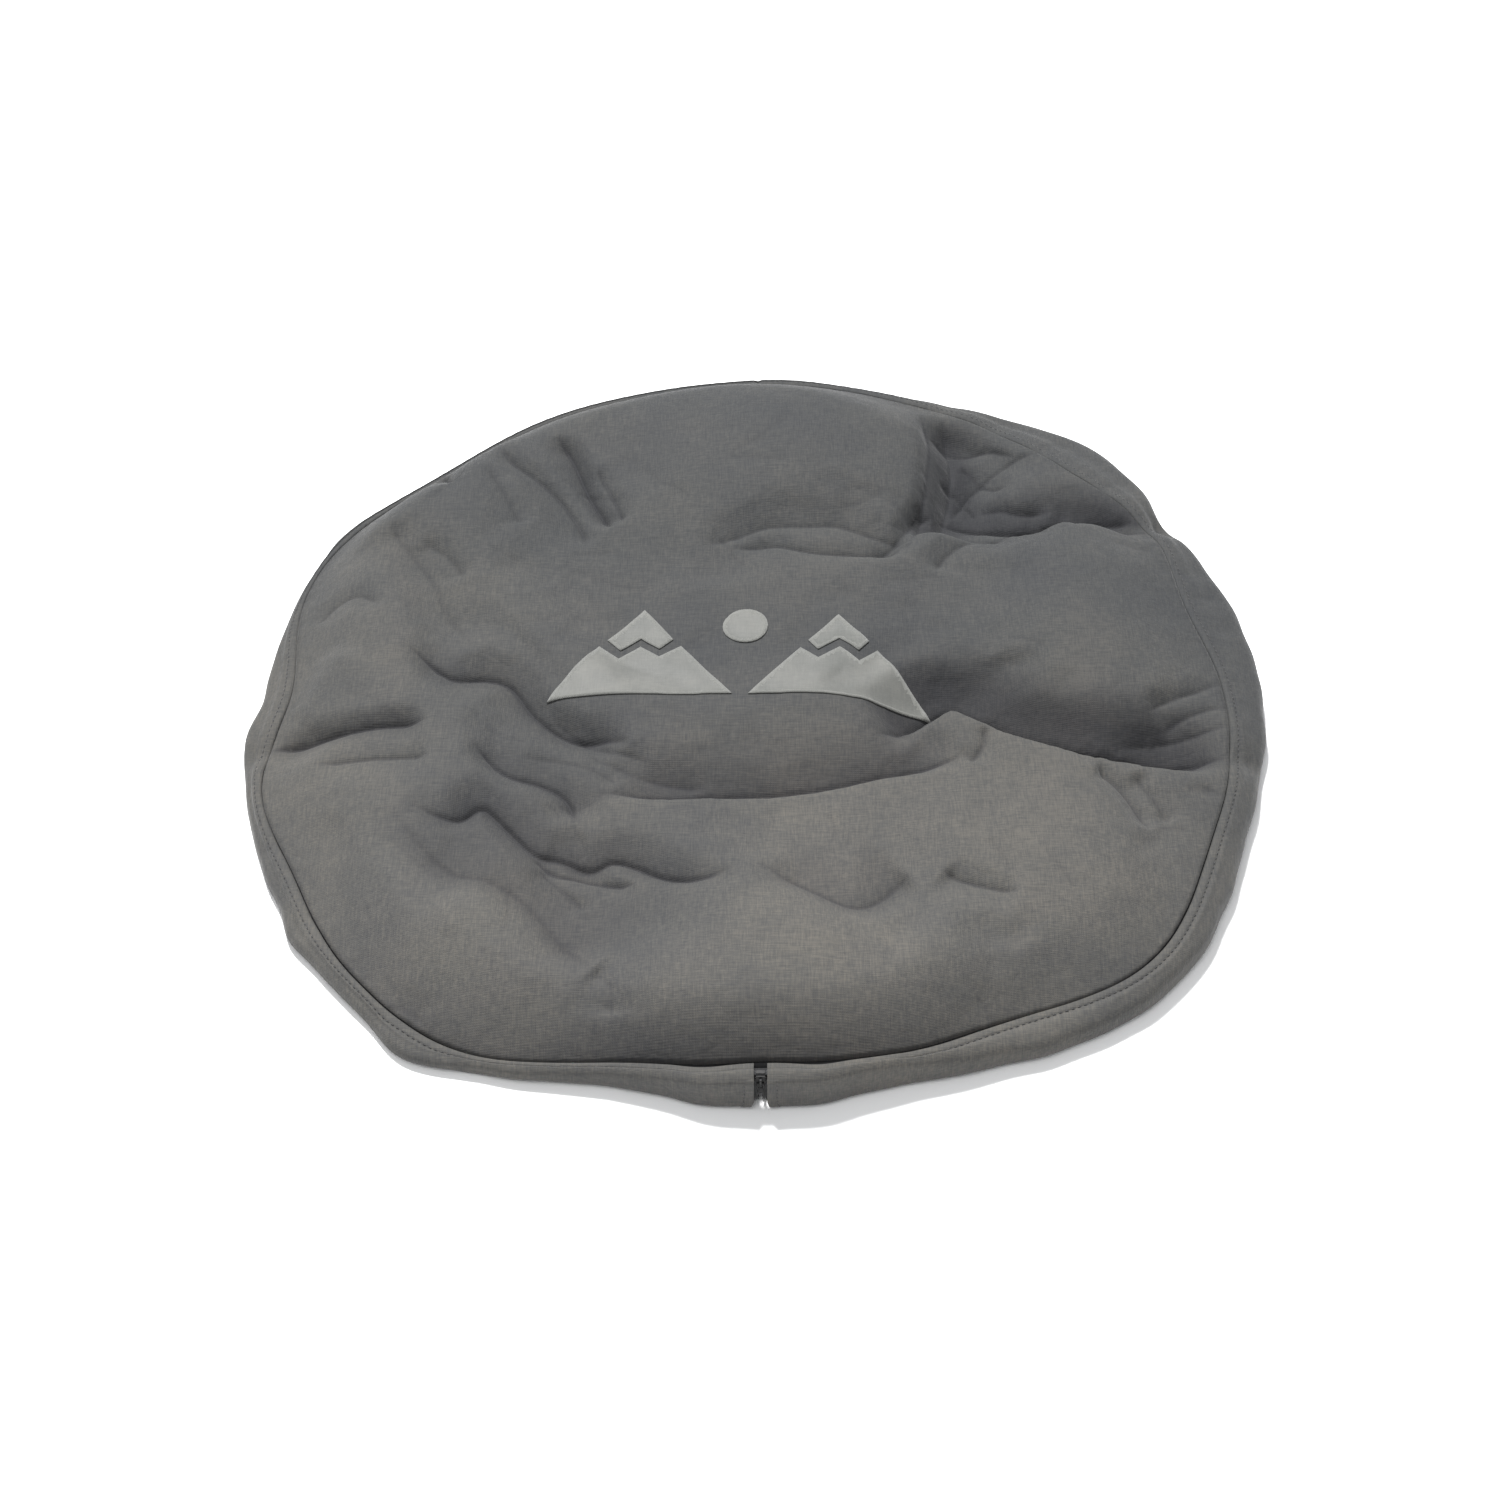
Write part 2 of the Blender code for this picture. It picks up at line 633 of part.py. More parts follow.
def slit_end_patch():
    """A patch inside the upper end of the slit, from the face seam to the top of the wall."""
    half, thick, depth = END_PATCH_HALF_WIDTH, END_PATCH_THICK, CLOTH + GAP
    section = [Vector(point) for point in band_section(SLIT_DIRECTION)]
    rings = []
    for edge, share in ((0, 0.22), (0, 0.90), (1, 0.12), (1, 0.88), (2, 0.12)):
        start, end = section[edge:edge + 2]
        along = (end - start).normalized()
        inwards = Vector((along.y, -along.x))
        spot = start.lerp(end, share) + inwards * depth
        ring = []
        for x, d in ((-half, 0), (half, 0), (half, thick), (-half, thick)):
            at = spot + inwards * d
            ring.append(Vector((ZIP_X + x, CENTRE_Y - at.x, at.y)))
        rings.append(ring)
    return loft("slit_end_patch", rings, LINING)


# ---------------------------------------------------------------- emblem
# Two generic mountains with snow caps and a sun, in millimetres from the emblem's middle.
EMBLEM = {
    "emblem_left_base": ((-141, -47), (-6, -47), (-44, 6), (-60, -6), (-74, 6), (-90, -7), (-105, 5)),
    "emblem_left_cap": ((-99, 13), (-89, 2), (-74, 15), (-60, 3), (-50, 13), (-72, 46)),
    "emblem_right_base": ((6, -47), (141, -47), (102, 2), (88, -10), (74, 2), (58, -10), (45, 3)),
    "emblem_right_cap": ((51, 11), (58, 0), (74, 12), (88, 0), (96, 10), (74, 38)),
}
SUN_CENTRE = (4, 27)
SUN_RADIUS = 17


def emblem():
    low = EMBLEM_LEVEL + GAP
    shapes = dict(EMBLEM)
    shapes["emblem_sun"] = [(SUN_CENTRE[0] + SUN_RADIUS * math.cos(math.radians(15 * k)),
                             SUN_CENTRE[1] + SUN_RADIUS * math.sin(math.radians(15 * k)))
                            for k in range(24)]
    for name, outline in shapes.items():
        placed = [(EMBLEM_CENTRE.x + x / 1000, EMBLEM_CENTRE.y + y / 1000) for x, y in outline]
        prism(name, placed, low, low + EMBLEM_THICK, SILVER_PRINT)


def main():
    clear_scene()
    face_panel()
    seam_binding()
    for side in (-1, 1):
        side_band(side)
        turned_under(side)
        hem_casing(side)
        face_topstitch(side)
        slit_facing(side)
        zip_tape(side)
        zip_teeth(side)
        open_end_stop(side)
    elastic_cord()
    band_join_tape()
    slit_end_patch()
    closed_end_stop()
    zip_slider()
    zip_pull()
    emblem()


main()
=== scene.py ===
"""Looks of the soft spare wheel cover: slack charcoal canvas, lying empty with its face up."""

import math

import bpy
import numpy as np
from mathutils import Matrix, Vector
from mathutils.bvhtree import BVHTree
from mathutils.geometry import delaunay_2d_cdt


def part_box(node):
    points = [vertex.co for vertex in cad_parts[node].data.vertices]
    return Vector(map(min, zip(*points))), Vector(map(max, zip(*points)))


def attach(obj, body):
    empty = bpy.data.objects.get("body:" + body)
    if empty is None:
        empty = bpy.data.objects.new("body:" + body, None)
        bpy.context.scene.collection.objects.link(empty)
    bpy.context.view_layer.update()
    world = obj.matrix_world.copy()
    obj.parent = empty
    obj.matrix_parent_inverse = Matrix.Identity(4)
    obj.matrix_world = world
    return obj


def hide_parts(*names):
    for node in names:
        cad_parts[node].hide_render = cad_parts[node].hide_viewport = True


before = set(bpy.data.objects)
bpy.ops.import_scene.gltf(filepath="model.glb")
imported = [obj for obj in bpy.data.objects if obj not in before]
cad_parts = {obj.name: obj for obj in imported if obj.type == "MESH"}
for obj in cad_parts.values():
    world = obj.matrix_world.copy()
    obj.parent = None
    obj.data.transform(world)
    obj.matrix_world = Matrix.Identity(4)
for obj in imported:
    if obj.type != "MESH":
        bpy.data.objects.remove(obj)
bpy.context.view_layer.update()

# -------- places read from the frame
STATIONS = 60  # directions at which the frame is read
CLOTH = 0.0014  # thickness
SLIT = math.radians(270)
FAR_JOIN = math.radians(90)


def coordinates(mesh):
    points = np.zeros(len(mesh.vertices) * 3)
    mesh.vertices.foreach_get("co", points)
    return points.reshape(-1, 3)


def node_points(*names):
    """Points of CAD nodes at rest, whose objects sit at the origin."""
    return np.concatenate([coordinates(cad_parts[name].data) for name in names])


slider_low, slider_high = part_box("zip_slider")
CENTRE = np.array([(slider_low[0] + slider_high[0]) / 2, 0.0])


def polar(points):
    """Direction and distance of points from the cover's centre, in plan."""
    flat = points[:, :2] - CENTRE
    return np.arctan2(flat[:, 1], flat[:, 0]), np.hypot(flat[:, 0], flat[:, 1])


def on_plan(direction, radius):
    """Plan points at directions and distances from the cover's centre."""
    return CENTRE + np.stack([radius * np.cos(direction), radius * np.sin(direction)], -1)


def in_space(direction, radius, height):
    return np.concatenate([on_plan(direction, radius), height[..., None]], -1)


def rim(points):
    """Radius and top height of the outermost points, at each station."""
    direction, radius = polar(points)
    radii, heights = [], []
    for k in range(STATIONS):
        off = np.abs((np.degrees(direction) - 360 / STATIONS * k + 180) % 360 - 180)
        near = off < 1.0
        furthest = radius[near].max()
        radii.append(furthest)
        heights.append(points[near][radius[near] > furthest - 0.0004, 2].max())
    return np.array(radii), np.array(heights)


CAD_OUTLINE, _ = rim(node_points("side_band_left", "side_band_right"))
CAD_SEAM, CAD_SEAM_HEIGHT = rim(node_points("face_panel"))

# How the slack cloth lies beside the plain CAD shape, estimated from the photo: millimetres, every
# 15 degrees from +X.
EDGE_DRIFT = (1, 3, 2, 15, 25, 21, 19, 17, 17, 11, 6, -4, -8, -4, -6, -4, 10, -2, 0, -2, 3, 2, 3, 1)
SEAM_DRIFT = (3, -7, 8, 6, 25, 30, 23, 19, 18, 13, 11, 2, -11, 3, -7, -1, 17, 9, 9, 10, 0, 3, 2, 6)
SEAM_DROP = (2, 0, 1, 2, 0, 0, 0, 0, 1, 3, 4, 4, 5, 7, 8, 9, 17, 14, 12, 9, 9, 6, 3, 2)
# Height of the band's crest over the seam, and width of the face's slope down to the seam.
CREST_RISE = (-5, -5, -5, -6, -6, -3, -1, -1, -1, -1, -1, -3, -5, -4, -4, -3, 1, 2, 9, 4, 1, 0, -3, -4)
RIM_WIDTH = (110, 110, 100, 100, 80, 50, 36, 32, 32, 36, 48, 75,
             95, 100, 105, 110, 80, 46, 42, 46, 75, 105, 115, 110)
# Dips where deep folds run over the seam: direction and width in degrees, and depth.
SEAM_DIPS = ((31, 3, 6), (348.5, 3, 4), (189.5, 3, 3), (56, 4, 3))
# Corners of the edge: direction and width in degrees, and how far the edge stands out there.
EDGE_CORNERS = (
    (32, 3, -4), (48, 7, 3), (86, 6, 4), (150, 5, 4), (187, 4, 6), (216, 3, 3), (234, 4, 9), (270, 6, 3))



def around(values, direction):
    """A smooth closed curve through values that are equally spaced around the cover."""
    values = np.asarray(values, float)
    place = (np.asarray(direction) / (2 * math.pi) * len(values)) % len(values)
    index = np.floor(place).astype(int)
    share = place - index
    a, b, c, d = (values[(index + k) % len(values)] for k in (-1, 0, 1, 2))
    return catmull_rom(a, b, c, d, share)


def catmull_rom(a, b, c, d, share):
    return b + 0.5 * share * (c - a + share * (2 * a - 5 * b + 4 * c - d + share * (3 * (b - c) + d - a)))


def with_ends(values):
    """Values with one more at each end, in line with the last two."""
    return np.concatenate([[2 * values[0] - values[1]], values, [2 * values[-1] - values[-2]]])


def smoothstep(low, high, value):
    share = np.clip((np.asarray(value, float) - low) / (high - low), 0, 1)
    return share * share * (3 - 2 * share)


def bump_at(direction, centre, width):
    """1 at one direction, falling smoothly to 0 away from it. Both are in degrees."""
    off = (np.degrees(direction) - centre + 180) % 360 - 180
    return np.exp(-((off / width) ** 2))


def edge_radius(direction):
    radius = around(CAD_OUTLINE, direction) + around(EDGE_DRIFT, direction) / 1000
    for centre, width, rise in EDGE_CORNERS:
        radius = radius + rise / 1000 * bump_at(direction, centre, width)
    return radius


def seam_radius(direction):
    return around(CAD_SEAM, direction) + around(SEAM_DRIFT, direction) / 1000


def seam_height(direction):
    height = around(CAD_SEAM_HEIGHT, direction) - around(SEAM_DROP, direction) / 1000
    for centre, width, depth in SEAM_DIPS:
        height = height - depth / 1000 * bump_at(direction, centre, width)
    return height


def from_seam(points):
    """Direction of plan points, and their distance inside the face seam."""
    direction, radius = polar(points)
    return direction, seam_radius(direction) - radius


def ripple(direction, waves, phase):
    """An uneven wave around the cover, between about -1 and 1, made of a few near frequencies."""
    total = np.zeros_like(np.asarray(direction, float))
    for k, share in enumerate((0.5, 0.3, 0.2)):
        total += share * np.sin(round(waves * (1 + 0.37 * k)) * direction + phase * (k + 1.7) ** 2)
    return total


# -------- materials
def new_material(name):
    made = bpy.data.materials.new(name)
    made.use_nodes = True
    return made, made.node_tree, made.node_tree.nodes["Principled BSDF"]


def feed(node, inputs):
    """Sets a node's inputs, or links them where the value is another node's socket."""
    for key, value in inputs.items():
        if isinstance(value, bpy.types.NodeSocket):
            node.id_data.links.new(value, node.inputs[key])
        else:
            node.inputs[key].default_value = value


def add_node(tree, kind, inputs, output=0, **settings):
    """Adds a node with its settings and inputs, and gives one of its outputs."""
    node = tree.nodes.new("ShaderNode" + kind)
    for key, value in settings.items():
        setattr(node, key, value)
    feed(node, inputs)
    return node.outputs[output]


def object_place(tree):
    return add_node(tree, "TexCoord", {}, "Object")


def noise_at(tree, where, scale, detail, stretch=None):
    if stretch:
        where = add_node(tree, "Mapping", {"Vector": where, "Scale": stretch})
    return add_node(tree, "TexNoise",
                    {"Vector": where, "Scale": scale, "Detail": detail, "Roughness": 0.6}, "Fac")


def math_node(tree, operation, a, b):
    return add_node(tree, "Math", {0: a, 1: b}, operation=operation)


def ranged(tree, value, low, high, to_low, to_high):
    return add_node(tree, "MapRange", {
        "Value": value, "From Min": low, "From Max": high, "To Min": to_low, "To Max": to_high})


def ramped(tree, value, stops, start, span):
    """A colour ramp whose stops are evenly spaced over a span of the value."""
    colour = add_node(tree, "ValToRGB", {"Fac": value})
    elements = colour.node.color_ramp.elements
    while len(elements) < len(stops):
        elements.new(0.5)
    for k, (element, stop) in enumerate(zip(elements, stops)):
        element.position = start + span * k / (len(stops) - 1)
        element.color = (*stop, 1)
    return colour


def shaded(tree, colour, shade, share):
    """A colour multiplied by a shade, as far as the share says."""
    return add_node(tree, "MixRGB", {"Fac": share, "Color1": colour, "Color2": (*shade, 1)},
                    blend_type="MULTIPLY")


def relief(tree, height, strength, distance, **beneath):
    inputs = {"Height": height, "Strength": strength, "Distance": distance, **beneath}
    return add_node(tree, "Bump", inputs)


def weave_height(tree, where, scale):
    inputs = {"Vector": where, "Scale": scale, "Distortion": 0.8, "Detail Scale": 30.0}
    waves = [add_node(tree, "TexWave", inputs, "Fac", wave_type="BANDS", bands_direction=axis)
             for axis in "XY"]
    return math_node(tree, "MAXIMUM", *waves)


CREASE_SHADE = (0.45, 0.45, 0.5)  # painted shade: darkens the canvas where the face's crease attribute is 1
WARP_STRETCH = (1000, 90, 120)
WEFT_STRETCH = (90, 1000, 1000)


def cloth_material(name, stops, weave_scale, bump, roughness, sheen, slub=0.1, mottle=7.0,
                   painted_light_tint=None, crinkle=0.0):
    """Woven cloth: dye and dust in soft patches, slubs along both threads, and a weave.
    stops are the colours from dark to light. The tint is painted light: it lightens and warms the cloth
    towards the slit and the left. crinkle is the strength of its fine wrinkles; where it is set, the
    creases are also darkened with painted shade."""
    made, tree, shader = new_material(name)
    where = object_place(tree)
    patches = noise_at(tree, where, mottle, 6.0)
    warp = noise_at(tree, where, 1.0, 2.0, WARP_STRETCH)
    weft = noise_at(tree, where, 1.0, 2.0, WEFT_STRETCH)
    threads = ranged(tree, math_node(tree, "ADD", warp, weft), 0.7, 1.3, -slub, slub)
    colour = ramped(tree, math_node(tree, "ADD", patches, threads), stops, 0.24, 0.56)
    if painted_light_tint:
        # painted light: the cloth is lightened and warmed towards the slit and the left, in cloudy patches
        x = add_node(tree, "SeparateXYZ", {0: where}, "X")
        y = x.node.outputs["Y"]
        left, near = math_node(tree, "MULTIPLY", x, -0.6), math_node(tree, "MULTIPLY", y, -2.0)
        slope = math_node(tree, "ADD", left, near)
        cloudy = math_node(tree, "ADD", slope, noise_at(tree, where, 5.0, 3.0))
        colour = shaded(tree, colour, painted_light_tint, ranged(tree, cloudy, 0.35, 1.05, 0.0, 0.75))
    wrinkled = {}
    if crinkle:
        # painted shade: the canvas is darkened along its creases and folds, by the face's crease attribute
        painted_shade = add_node(tree, "Attribute", {}, "Fac", attribute_name="painted_crease_shade")
        colour = shaded(tree, colour, CREASE_SHADE, painted_shade)
        centred = math_node(tree, "SUBTRACT", noise_at(tree, where, 26.0, 4.0), 0.5)
        wrinkled["Normal"] = relief(tree, math_node(tree, "ABSOLUTE", centred, 0.0), crinkle, 0.006)
    height = math_node(tree, "ADD", weave_height(tree, where, weave_scale), threads)
    feed(shader, {
        "Base Color": colour, "Sheen Weight": sheen, "Sheen Roughness": 0.45, "Specular IOR Level": 0.3,
        "Roughness": ranged(tree, patches, 0.3, 0.7, roughness - 0.06, roughness + 0.06),
        "Normal": relief(tree, height, bump, 0.0004, **wrinkled)})
    return made


def hard_material(name, stops, roughness, metallic, scratch_scale, bump):
    """Metal or moulded resin: worn, with fine uneven scratches."""
    made, tree, shader = new_material(name)
    where = object_place(tree)
    wear = noise_at(tree, where, 420, 5.0)
    scratches = noise_at(tree, where, 1.0, 3.0, scratch_scale)
    feed(shader, {
        "Base Color": ramped(tree, wear, stops, 0.35, 0.3), "Metallic": metallic,
        "Roughness": ranged(tree, wear, 0.3, 0.7, roughness - 0.1, roughness + 0.12),
        "Normal": relief(tree, scratches, bump, 0.0001)})
    return made


CANVAS = cloth_material(
    "charcoal_canvas", ((0.0265, 0.028, 0.0305), (0.04, 0.0408, 0.0408), (0.059, 0.0575, 0.054)),
    weave_scale=235, bump=0.34, roughness=0.8, sheen=0.1, slub=0.2, painted_light_tint=(2.02, 1.89, 1.72), crinkle=0.5)
LINING = cloth_material(
    "binding_twill", ((0.028, 0.028, 0.03), (0.052, 0.052, 0.054)), 330, 0.4, 0.86, 0.2)
THREAD = cloth_material(
    "stitching_thread", ((0.024, 0.024, 0.026), (0.05, 0.05, 0.052)), 900, 0.5, 0.6, 0.2)
ELASTIC = cloth_material(
    "braided_elastic", ((0.016, 0.016, 0.017), (0.04, 0.04, 0.042)), 520, 0.7, 0.7, 0.3)
TAPE = cloth_material(
    "zip_tape_weave", ((0.008, 0.008, 0.009), (0.02, 0.02, 0.021)), 480, 0.5, 0.85, 0.15)
SATIN = cloth_material(
    "silver_grey_satin", ((0.082, 0.085, 0.079), (0.115, 0.116, 0.108), (0.15, 0.149, 0.136)),
    weave_scale=420, bump=0.25, roughness=0.52, sheen=0.25, slub=0.1, mottle=22)
SATIN_EDGE = cloth_material(
    "silver_grey_edge_stitch", ((0.142, 0.145, 0.136), (0.205, 0.204, 0.188)), 700, 0.6, 0.5, 0.3)
RESIN = hard_material(
    "zip_resin", ((0.01, 0.01, 0.01), (0.022, 0.022, 0.023)), 0.42, 0.0, (900, 900, 900), 0.15)
NICKEL = hard_material(
    "worn_nickel", ((0.014, 0.014, 0.015), (0.055, 0.054, 0.053)), 0.6, 0.8, (2500, 2500, 300), 0.3)


# -------- meshes
def make_mesh(name, points, faces, finish=None):
    mesh = bpy.data.meshes.new(name)
    mesh.from_pydata([tuple(p) for p in points], [], [tuple(int(i) for i in f) for f in faces])
    mesh.shade_smooth()
    obj = bpy.data.objects.new(name, mesh)
    bpy.context.scene.collection.objects.link(obj)
    if finish:
        mesh.materials.append(finish)
    return obj


def grid_faces(rows, columns, flip=False, closed=False):
    index = np.arange(rows * columns).reshape(rows, columns)
    if closed:
        index = np.concatenate([index, index[:, :1]], 1)
    faces = np.stack([index[:-1, :-1], index[1:, :-1], index[1:, 1:], index[:-1, 1:]], -1).reshape(-1, 4)
    return faces[:, ::-1] if flip else faces


def grid_mesh(name, points, finish, flip, closed=False):
    faces = grid_faces(*points.shape[:2], flip=flip, closed=closed)
    return make_mesh(name, points.reshape(-1, 3), faces, finish)


def add_thickness(obj, thick, offset=-1.0):
    solid = obj.modifiers.new("cloth", "SOLIDIFY")
    solid.thickness = thick
    solid.offset = offset


def evaluated_points(obj):
    shown = obj.evaluated_get(bpy.context.evaluated_depsgraph_get())
    points = coordinates(shown.to_mesh())
    shown.to_mesh_clear()
    return points


def register(obj, slot, *replaced):
    """Puts a piece on the cover's body, in place of CAD nodes, which it hides. slot is not used."""
    if replaced:
        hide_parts(*replaced)
    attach(obj, "cover")
    return obj


def side_name(stem, side):
    return f"{stem}_{'right' if side > 0 else 'left'}"


def grid_normals(points):
    along = np.gradient(points, axis=0)
    across = np.gradient(points, axis=1)
    normal = np.cross(along, across)
    return normal / np.maximum(np.linalg.norm(normal, axis=2, keepdims=True), 1e-12)


def reach_along(line):
    """How far along a line each of its points lies."""
    return np.concatenate([[0], np.cumsum(np.linalg.norm(np.diff(line, axis=0), axis=1))])


def read_at(spots, reach, values):
    """Values given at the points of a line, read at distances along it."""
    return np.stack([np.interp(spots, reach, column) for column in values.T], -1)


def sideways(line):
    """Unit vectors to the left of a line in its plane, at each of its points."""
    along = np.gradient(line, axis=0)
    along /= np.linalg.norm(along, axis=1, keepdims=True)
    return np.stack([-along[:, 1], along[:, 0]], 1)


def triangulated(ring, filling):
    """Plan points and triangles of the area within a ring."""
    points = [Vector(point) for point in np.concatenate([ring, filling])]
    made = delaunay_2d_cdt(points, [], [list(range(len(ring)))], 1, 1e-6)
    return np.array([tuple(vert) for vert in made[0]]), np.array(made[2])


# The rings of a stitch: share of its length, share of its radius, and lift off the cloth in radii.
STITCH_RINGS = ((0, 0.45, -0.9), (0.2, 0.95, 0.3), (0.5, 1.0, 0.6), (0.8, 0.95, 0.3), (1, 0.45, -0.9))
STITCH_SIDES = 6


def stitches(name, line, normals, length, gap, radius):
    """A row of single stitches along a line of points on the cloth, half sunk into it."""
    reach = reach_along(line)
    points, faces = [], []
    for n in range(int(reach[-1] / (length + gap))):
        start = n * (length + gap)
        a, b = read_at(start, reach, line), read_at(start + length, reach, line)
        along = (b - a) / np.linalg.norm(b - a)
        across = np.cross(along, read_at(start, reach, normals))
        up = np.cross(across, along)
        first = len(points)
        for share, size, lift in STITCH_RINGS:
            centre = a + share * (b - a) + lift * radius * up
            for k in range(STITCH_SIDES):
                angle = 2 * math.pi * k / STITCH_SIDES
                points.append(centre + radius * size * (math.cos(angle) * across + math.sin(angle) * up))
        last = len(points)
        faces.extend(first + grid_faces(len(STITCH_RINGS), STITCH_SIDES, closed=True))
        faces.append(range(first, first + STITCH_SIDES))
        faces.append(range(last - 1, last - 1 - STITCH_SIDES, -1))
    return make_mesh(name, points, faces, THREAD)


# -------- shape of the face
# Folds of the slack face, in millimetres: depth, width of the slope on the far or left side,
# width on the near or right side, depth of the pressed crease along its bottom, and its line.
FOLDS = (
    (22, 10, 22, 0.8, ((138, 158), (147, 190), (156, 234), (158, 275), (152, 320))),
    (3, 3, 6, 1.4, ((120, 148), (129, 184), (136, 234), (139, 275), (135, 322))),
    (7, 8, 13, 1.2, ((156, 205), (166, 226), (186, 252), (210, 269), (240, 276))),
    (19, 14, 8, 2.4, ((138, 198), (168, 196), (207, 186), (233, 192), (268, 198), (293, 192), (330, 190))),
    (6, 7, 12, 1.0, ((136, 112), (146, 133), (165, 152), (206, 173), (243, 181))),
    (6, 5, 8, 1.2, ((87, 144), (104, 151), (117, 168), (128, 190), (142, 199))),
    (7, 10, 14, 1.0, ((-47, 141), (-16, 157), (11, 170), (39, 172), (66, 173), (97, 161), (124, 154))),
    (5, 5, 8, 1.4, ((-20, 144), (15, 151), (50, 142), (89, 143), (120, 149))),
    (28, 17, 8, 2.8, ((84, -56), (104, -42), (128, -20), (148, -15), (170, -30), (193, -45), (234, -60),
        (272, -66), (317, -69), (356, -70))),
    (4, 6, 6, 1.2, ((165, -50), (161, -72), (149, -87))),
    (3, 4, 6, 0.9, ((280, -34), (318, -11), (351, 8))),
    (3, 4, 6, 0.9, ((285, -48), (323, -28), (353, -17))),
    (3, 4, 6, 0.9, ((258, -56), (306, -48), (352, -38))),
    (6, 5, 7, 1.2, ((238, -92), (251, -102), (263, -121), (274, -150))),
    (4, 5, 7, 0.8, ((266, -94), (280, -118), (290, -140))),
    (13, 20, 5, 1.6, ((-128, -114), (-76, -108), (-40, -105), (2, -102), (52, -96), (88, -88), (123, -83),
        (163, -76))),
    (8, 5, 12, 2.4, ((-358, -58), (-329, -54), (-293, -51), (-261, -48), (-233, -48))),
    (5, 7, 12, 1.2, ((-320, -84), (-282, -83), (-254, -82), (-230, -83))),
    (9, 9, 12, 2.2, ((-264, 29), (-241, 15), (-220, 2), (-194, 5), (-177, -2), (-158, -32), (-131, -52),
        (-105, -56), (-86, -63))),
    (9, 12, 8, 2.0, ((-203, -64), (-177, -88), (-151, -98), (-132, -114), (-124, -144))),
    (9, 10, 7, 2.6, ((-252, -122), (-227, -136), (-206, -138), (-192, -126), (-182, -132), (-153, -163),
        (-134, -168), (-112, -178), (-97, -171), (-81, -177), (-65, -187), (-45, -193),
        (-25, -192), (-6, -182))),
    (5, 4, 6, 1.6, ((-154, -167), (-137, -181), (-118, -186), (-96, -196), (-77, -197))),
    (4, 5, 9, 0.8, ((-149, -178), (-130, -199), (-112, -222))),
    (10, 36, 13, 0.5, ((-266, -122), (-214, -183), (-169, -205), (-143, -230), (-126, -255), (-106, -283))),
    (4, 13, 13, 0.3, ((-108, -278), (-95, -292), (-96, -314))),
    (3, 6, 7, 0.8, ((-258, -280), (-236, -290), (-217, -302))),
    (8, 18, 9, 0.8, ((-2, -180), (29, -199), (63, -220), (83, -212), (94, -199), (105, -191))),
    (5, 6, 9, 1.4, ((126, -189), (137, -197), (154, -205), (178, -214))),
    (8, 5, 8, 1.8, ((-160, 277), (-146, 253), (-133, 217), (-119, 186), (-107, 163))),
    (6, 5, 9, 1.4, ((-212, 268), (-192, 238), (-170, 219), (-150, 196), (-133, 164), (-129, 139))),
    (5, 4, 6, 1.6, ((-252, 231), (-235, 210))),
    (3, 6, 8, 0.8, ((-214, 229), (-189, 185), (-178, 162))),
    (4, 5, 7, 1.2, ((-126, 238), (-109, 199), (-100, 170))),
    (7, 11, 15, 0.7, ((-286, 166), (-271, 142), (-242, 100), (-230, 69), (-201, 24))),
    (3, 6, 9, 0.6, ((-259, 147), (-234, 126), (-219, 101))),
    (3, 5, 7, 0.7, ((-334, 63), (-320, 79), (-300, 85), (-277, 67))),
    (3, 6, 8, 0.6, ((-152, -30), (-112, -62), (-68, -80))),
    (3, 6, 8, 0.7, ((-122, -68), (-80, -90), (-26, -98))),
    (2, 5, 6, 0.6, ((-170, -72), (-120, -84), (-92, -100))),
    (3, 4, 6, 1.2, ((140, 292), (165, 282), (190, 284), (215, 272))),
    (3, 4, 6, 1.2, ((166, 268), (176, 258), (186, 246), (204, 232))),
    (4, 4, 6, 1.4, ((146, 240), (158, 236), (170, 222), (176, 206))),
    (3, 3, 5, 1.2, ((176, 216), (196, 210), (212, 204), (238, 208))),
    (3, 3, 5, 1.0, ((240, 176), (262, 184), (300, 180), (328, 176))),
    (3, 4, 6, 1.0, ((150, 180), (170, 170), (200, 160))),
)
# Soft ridges, in the same form with their height.
RIDGES = (
    (5, 9, 12, ((-344, -30), (-329, -14), (-314, 3), (-289, 24))),
    (4, 26, 26, ((-205, -190), (-168, -212), (-138, -248), (-112, -282))),
    (5, 22, 26, ((-318, 140), (-286, 172), (-250, 206), (-208, 240), (-165, 268))),
)
# Broad swells and hollows: centre and radius in millimetres, and height in millimetres.
SWELLS = (
    ((20, -262), 85, 15), ((-215, -205), 85, 9), ((225, -205), 90, 8), ((20, -135), 62, -7),
    ((262, 60), 80, 7), ((-275, 30), 75, 6), ((20, 262), 95, 13), ((208, 228), 55, -9), ((-205, 195), 80, 7),
    ((-60, -300), 60, 4), ((120, -280), 50, 4),
)
FACE_LEVEL = 0.041
FOLD_STRENGTH = 1.15
PRESSED_STRENGTH = 1.1
SLOPE_REACH = 2.2  # how far a fold's slopes reach, as a multiple of its widths
RIDGE_ROUNDING = 0.22
RIM_CURVE = 2.0  # how full the face is beside its seam
DEEPEST = 36  # limit of the depth where folds meet
MINOR_CREASES = 110
DEEP_FOLD = 8  # folds from this depth get painted shade inside
RIM_POINTS = 720
# Rows of points beside the seam, the folds and the faint creases, and their least spacing.
SEAM_ROWS = (0.0028, 0.0058, 0.009, 0.0125)
FOLD_ROWS = (0, 0.0011, -0.0011, 0.0024, -0.0024, 0.0042, -0.0042)
FAINT_ROWS = (0, 0.0018, -0.0018, 0.004, -0.004)
FOLD_STEP, FOLD_GAP = 0.0022, 0.0009
FAINT_STEP, FAINT_GAP = 0.003, 0.0015
PLAIN_STEP, PLAIN_GAP = 0.0042, 0.0028
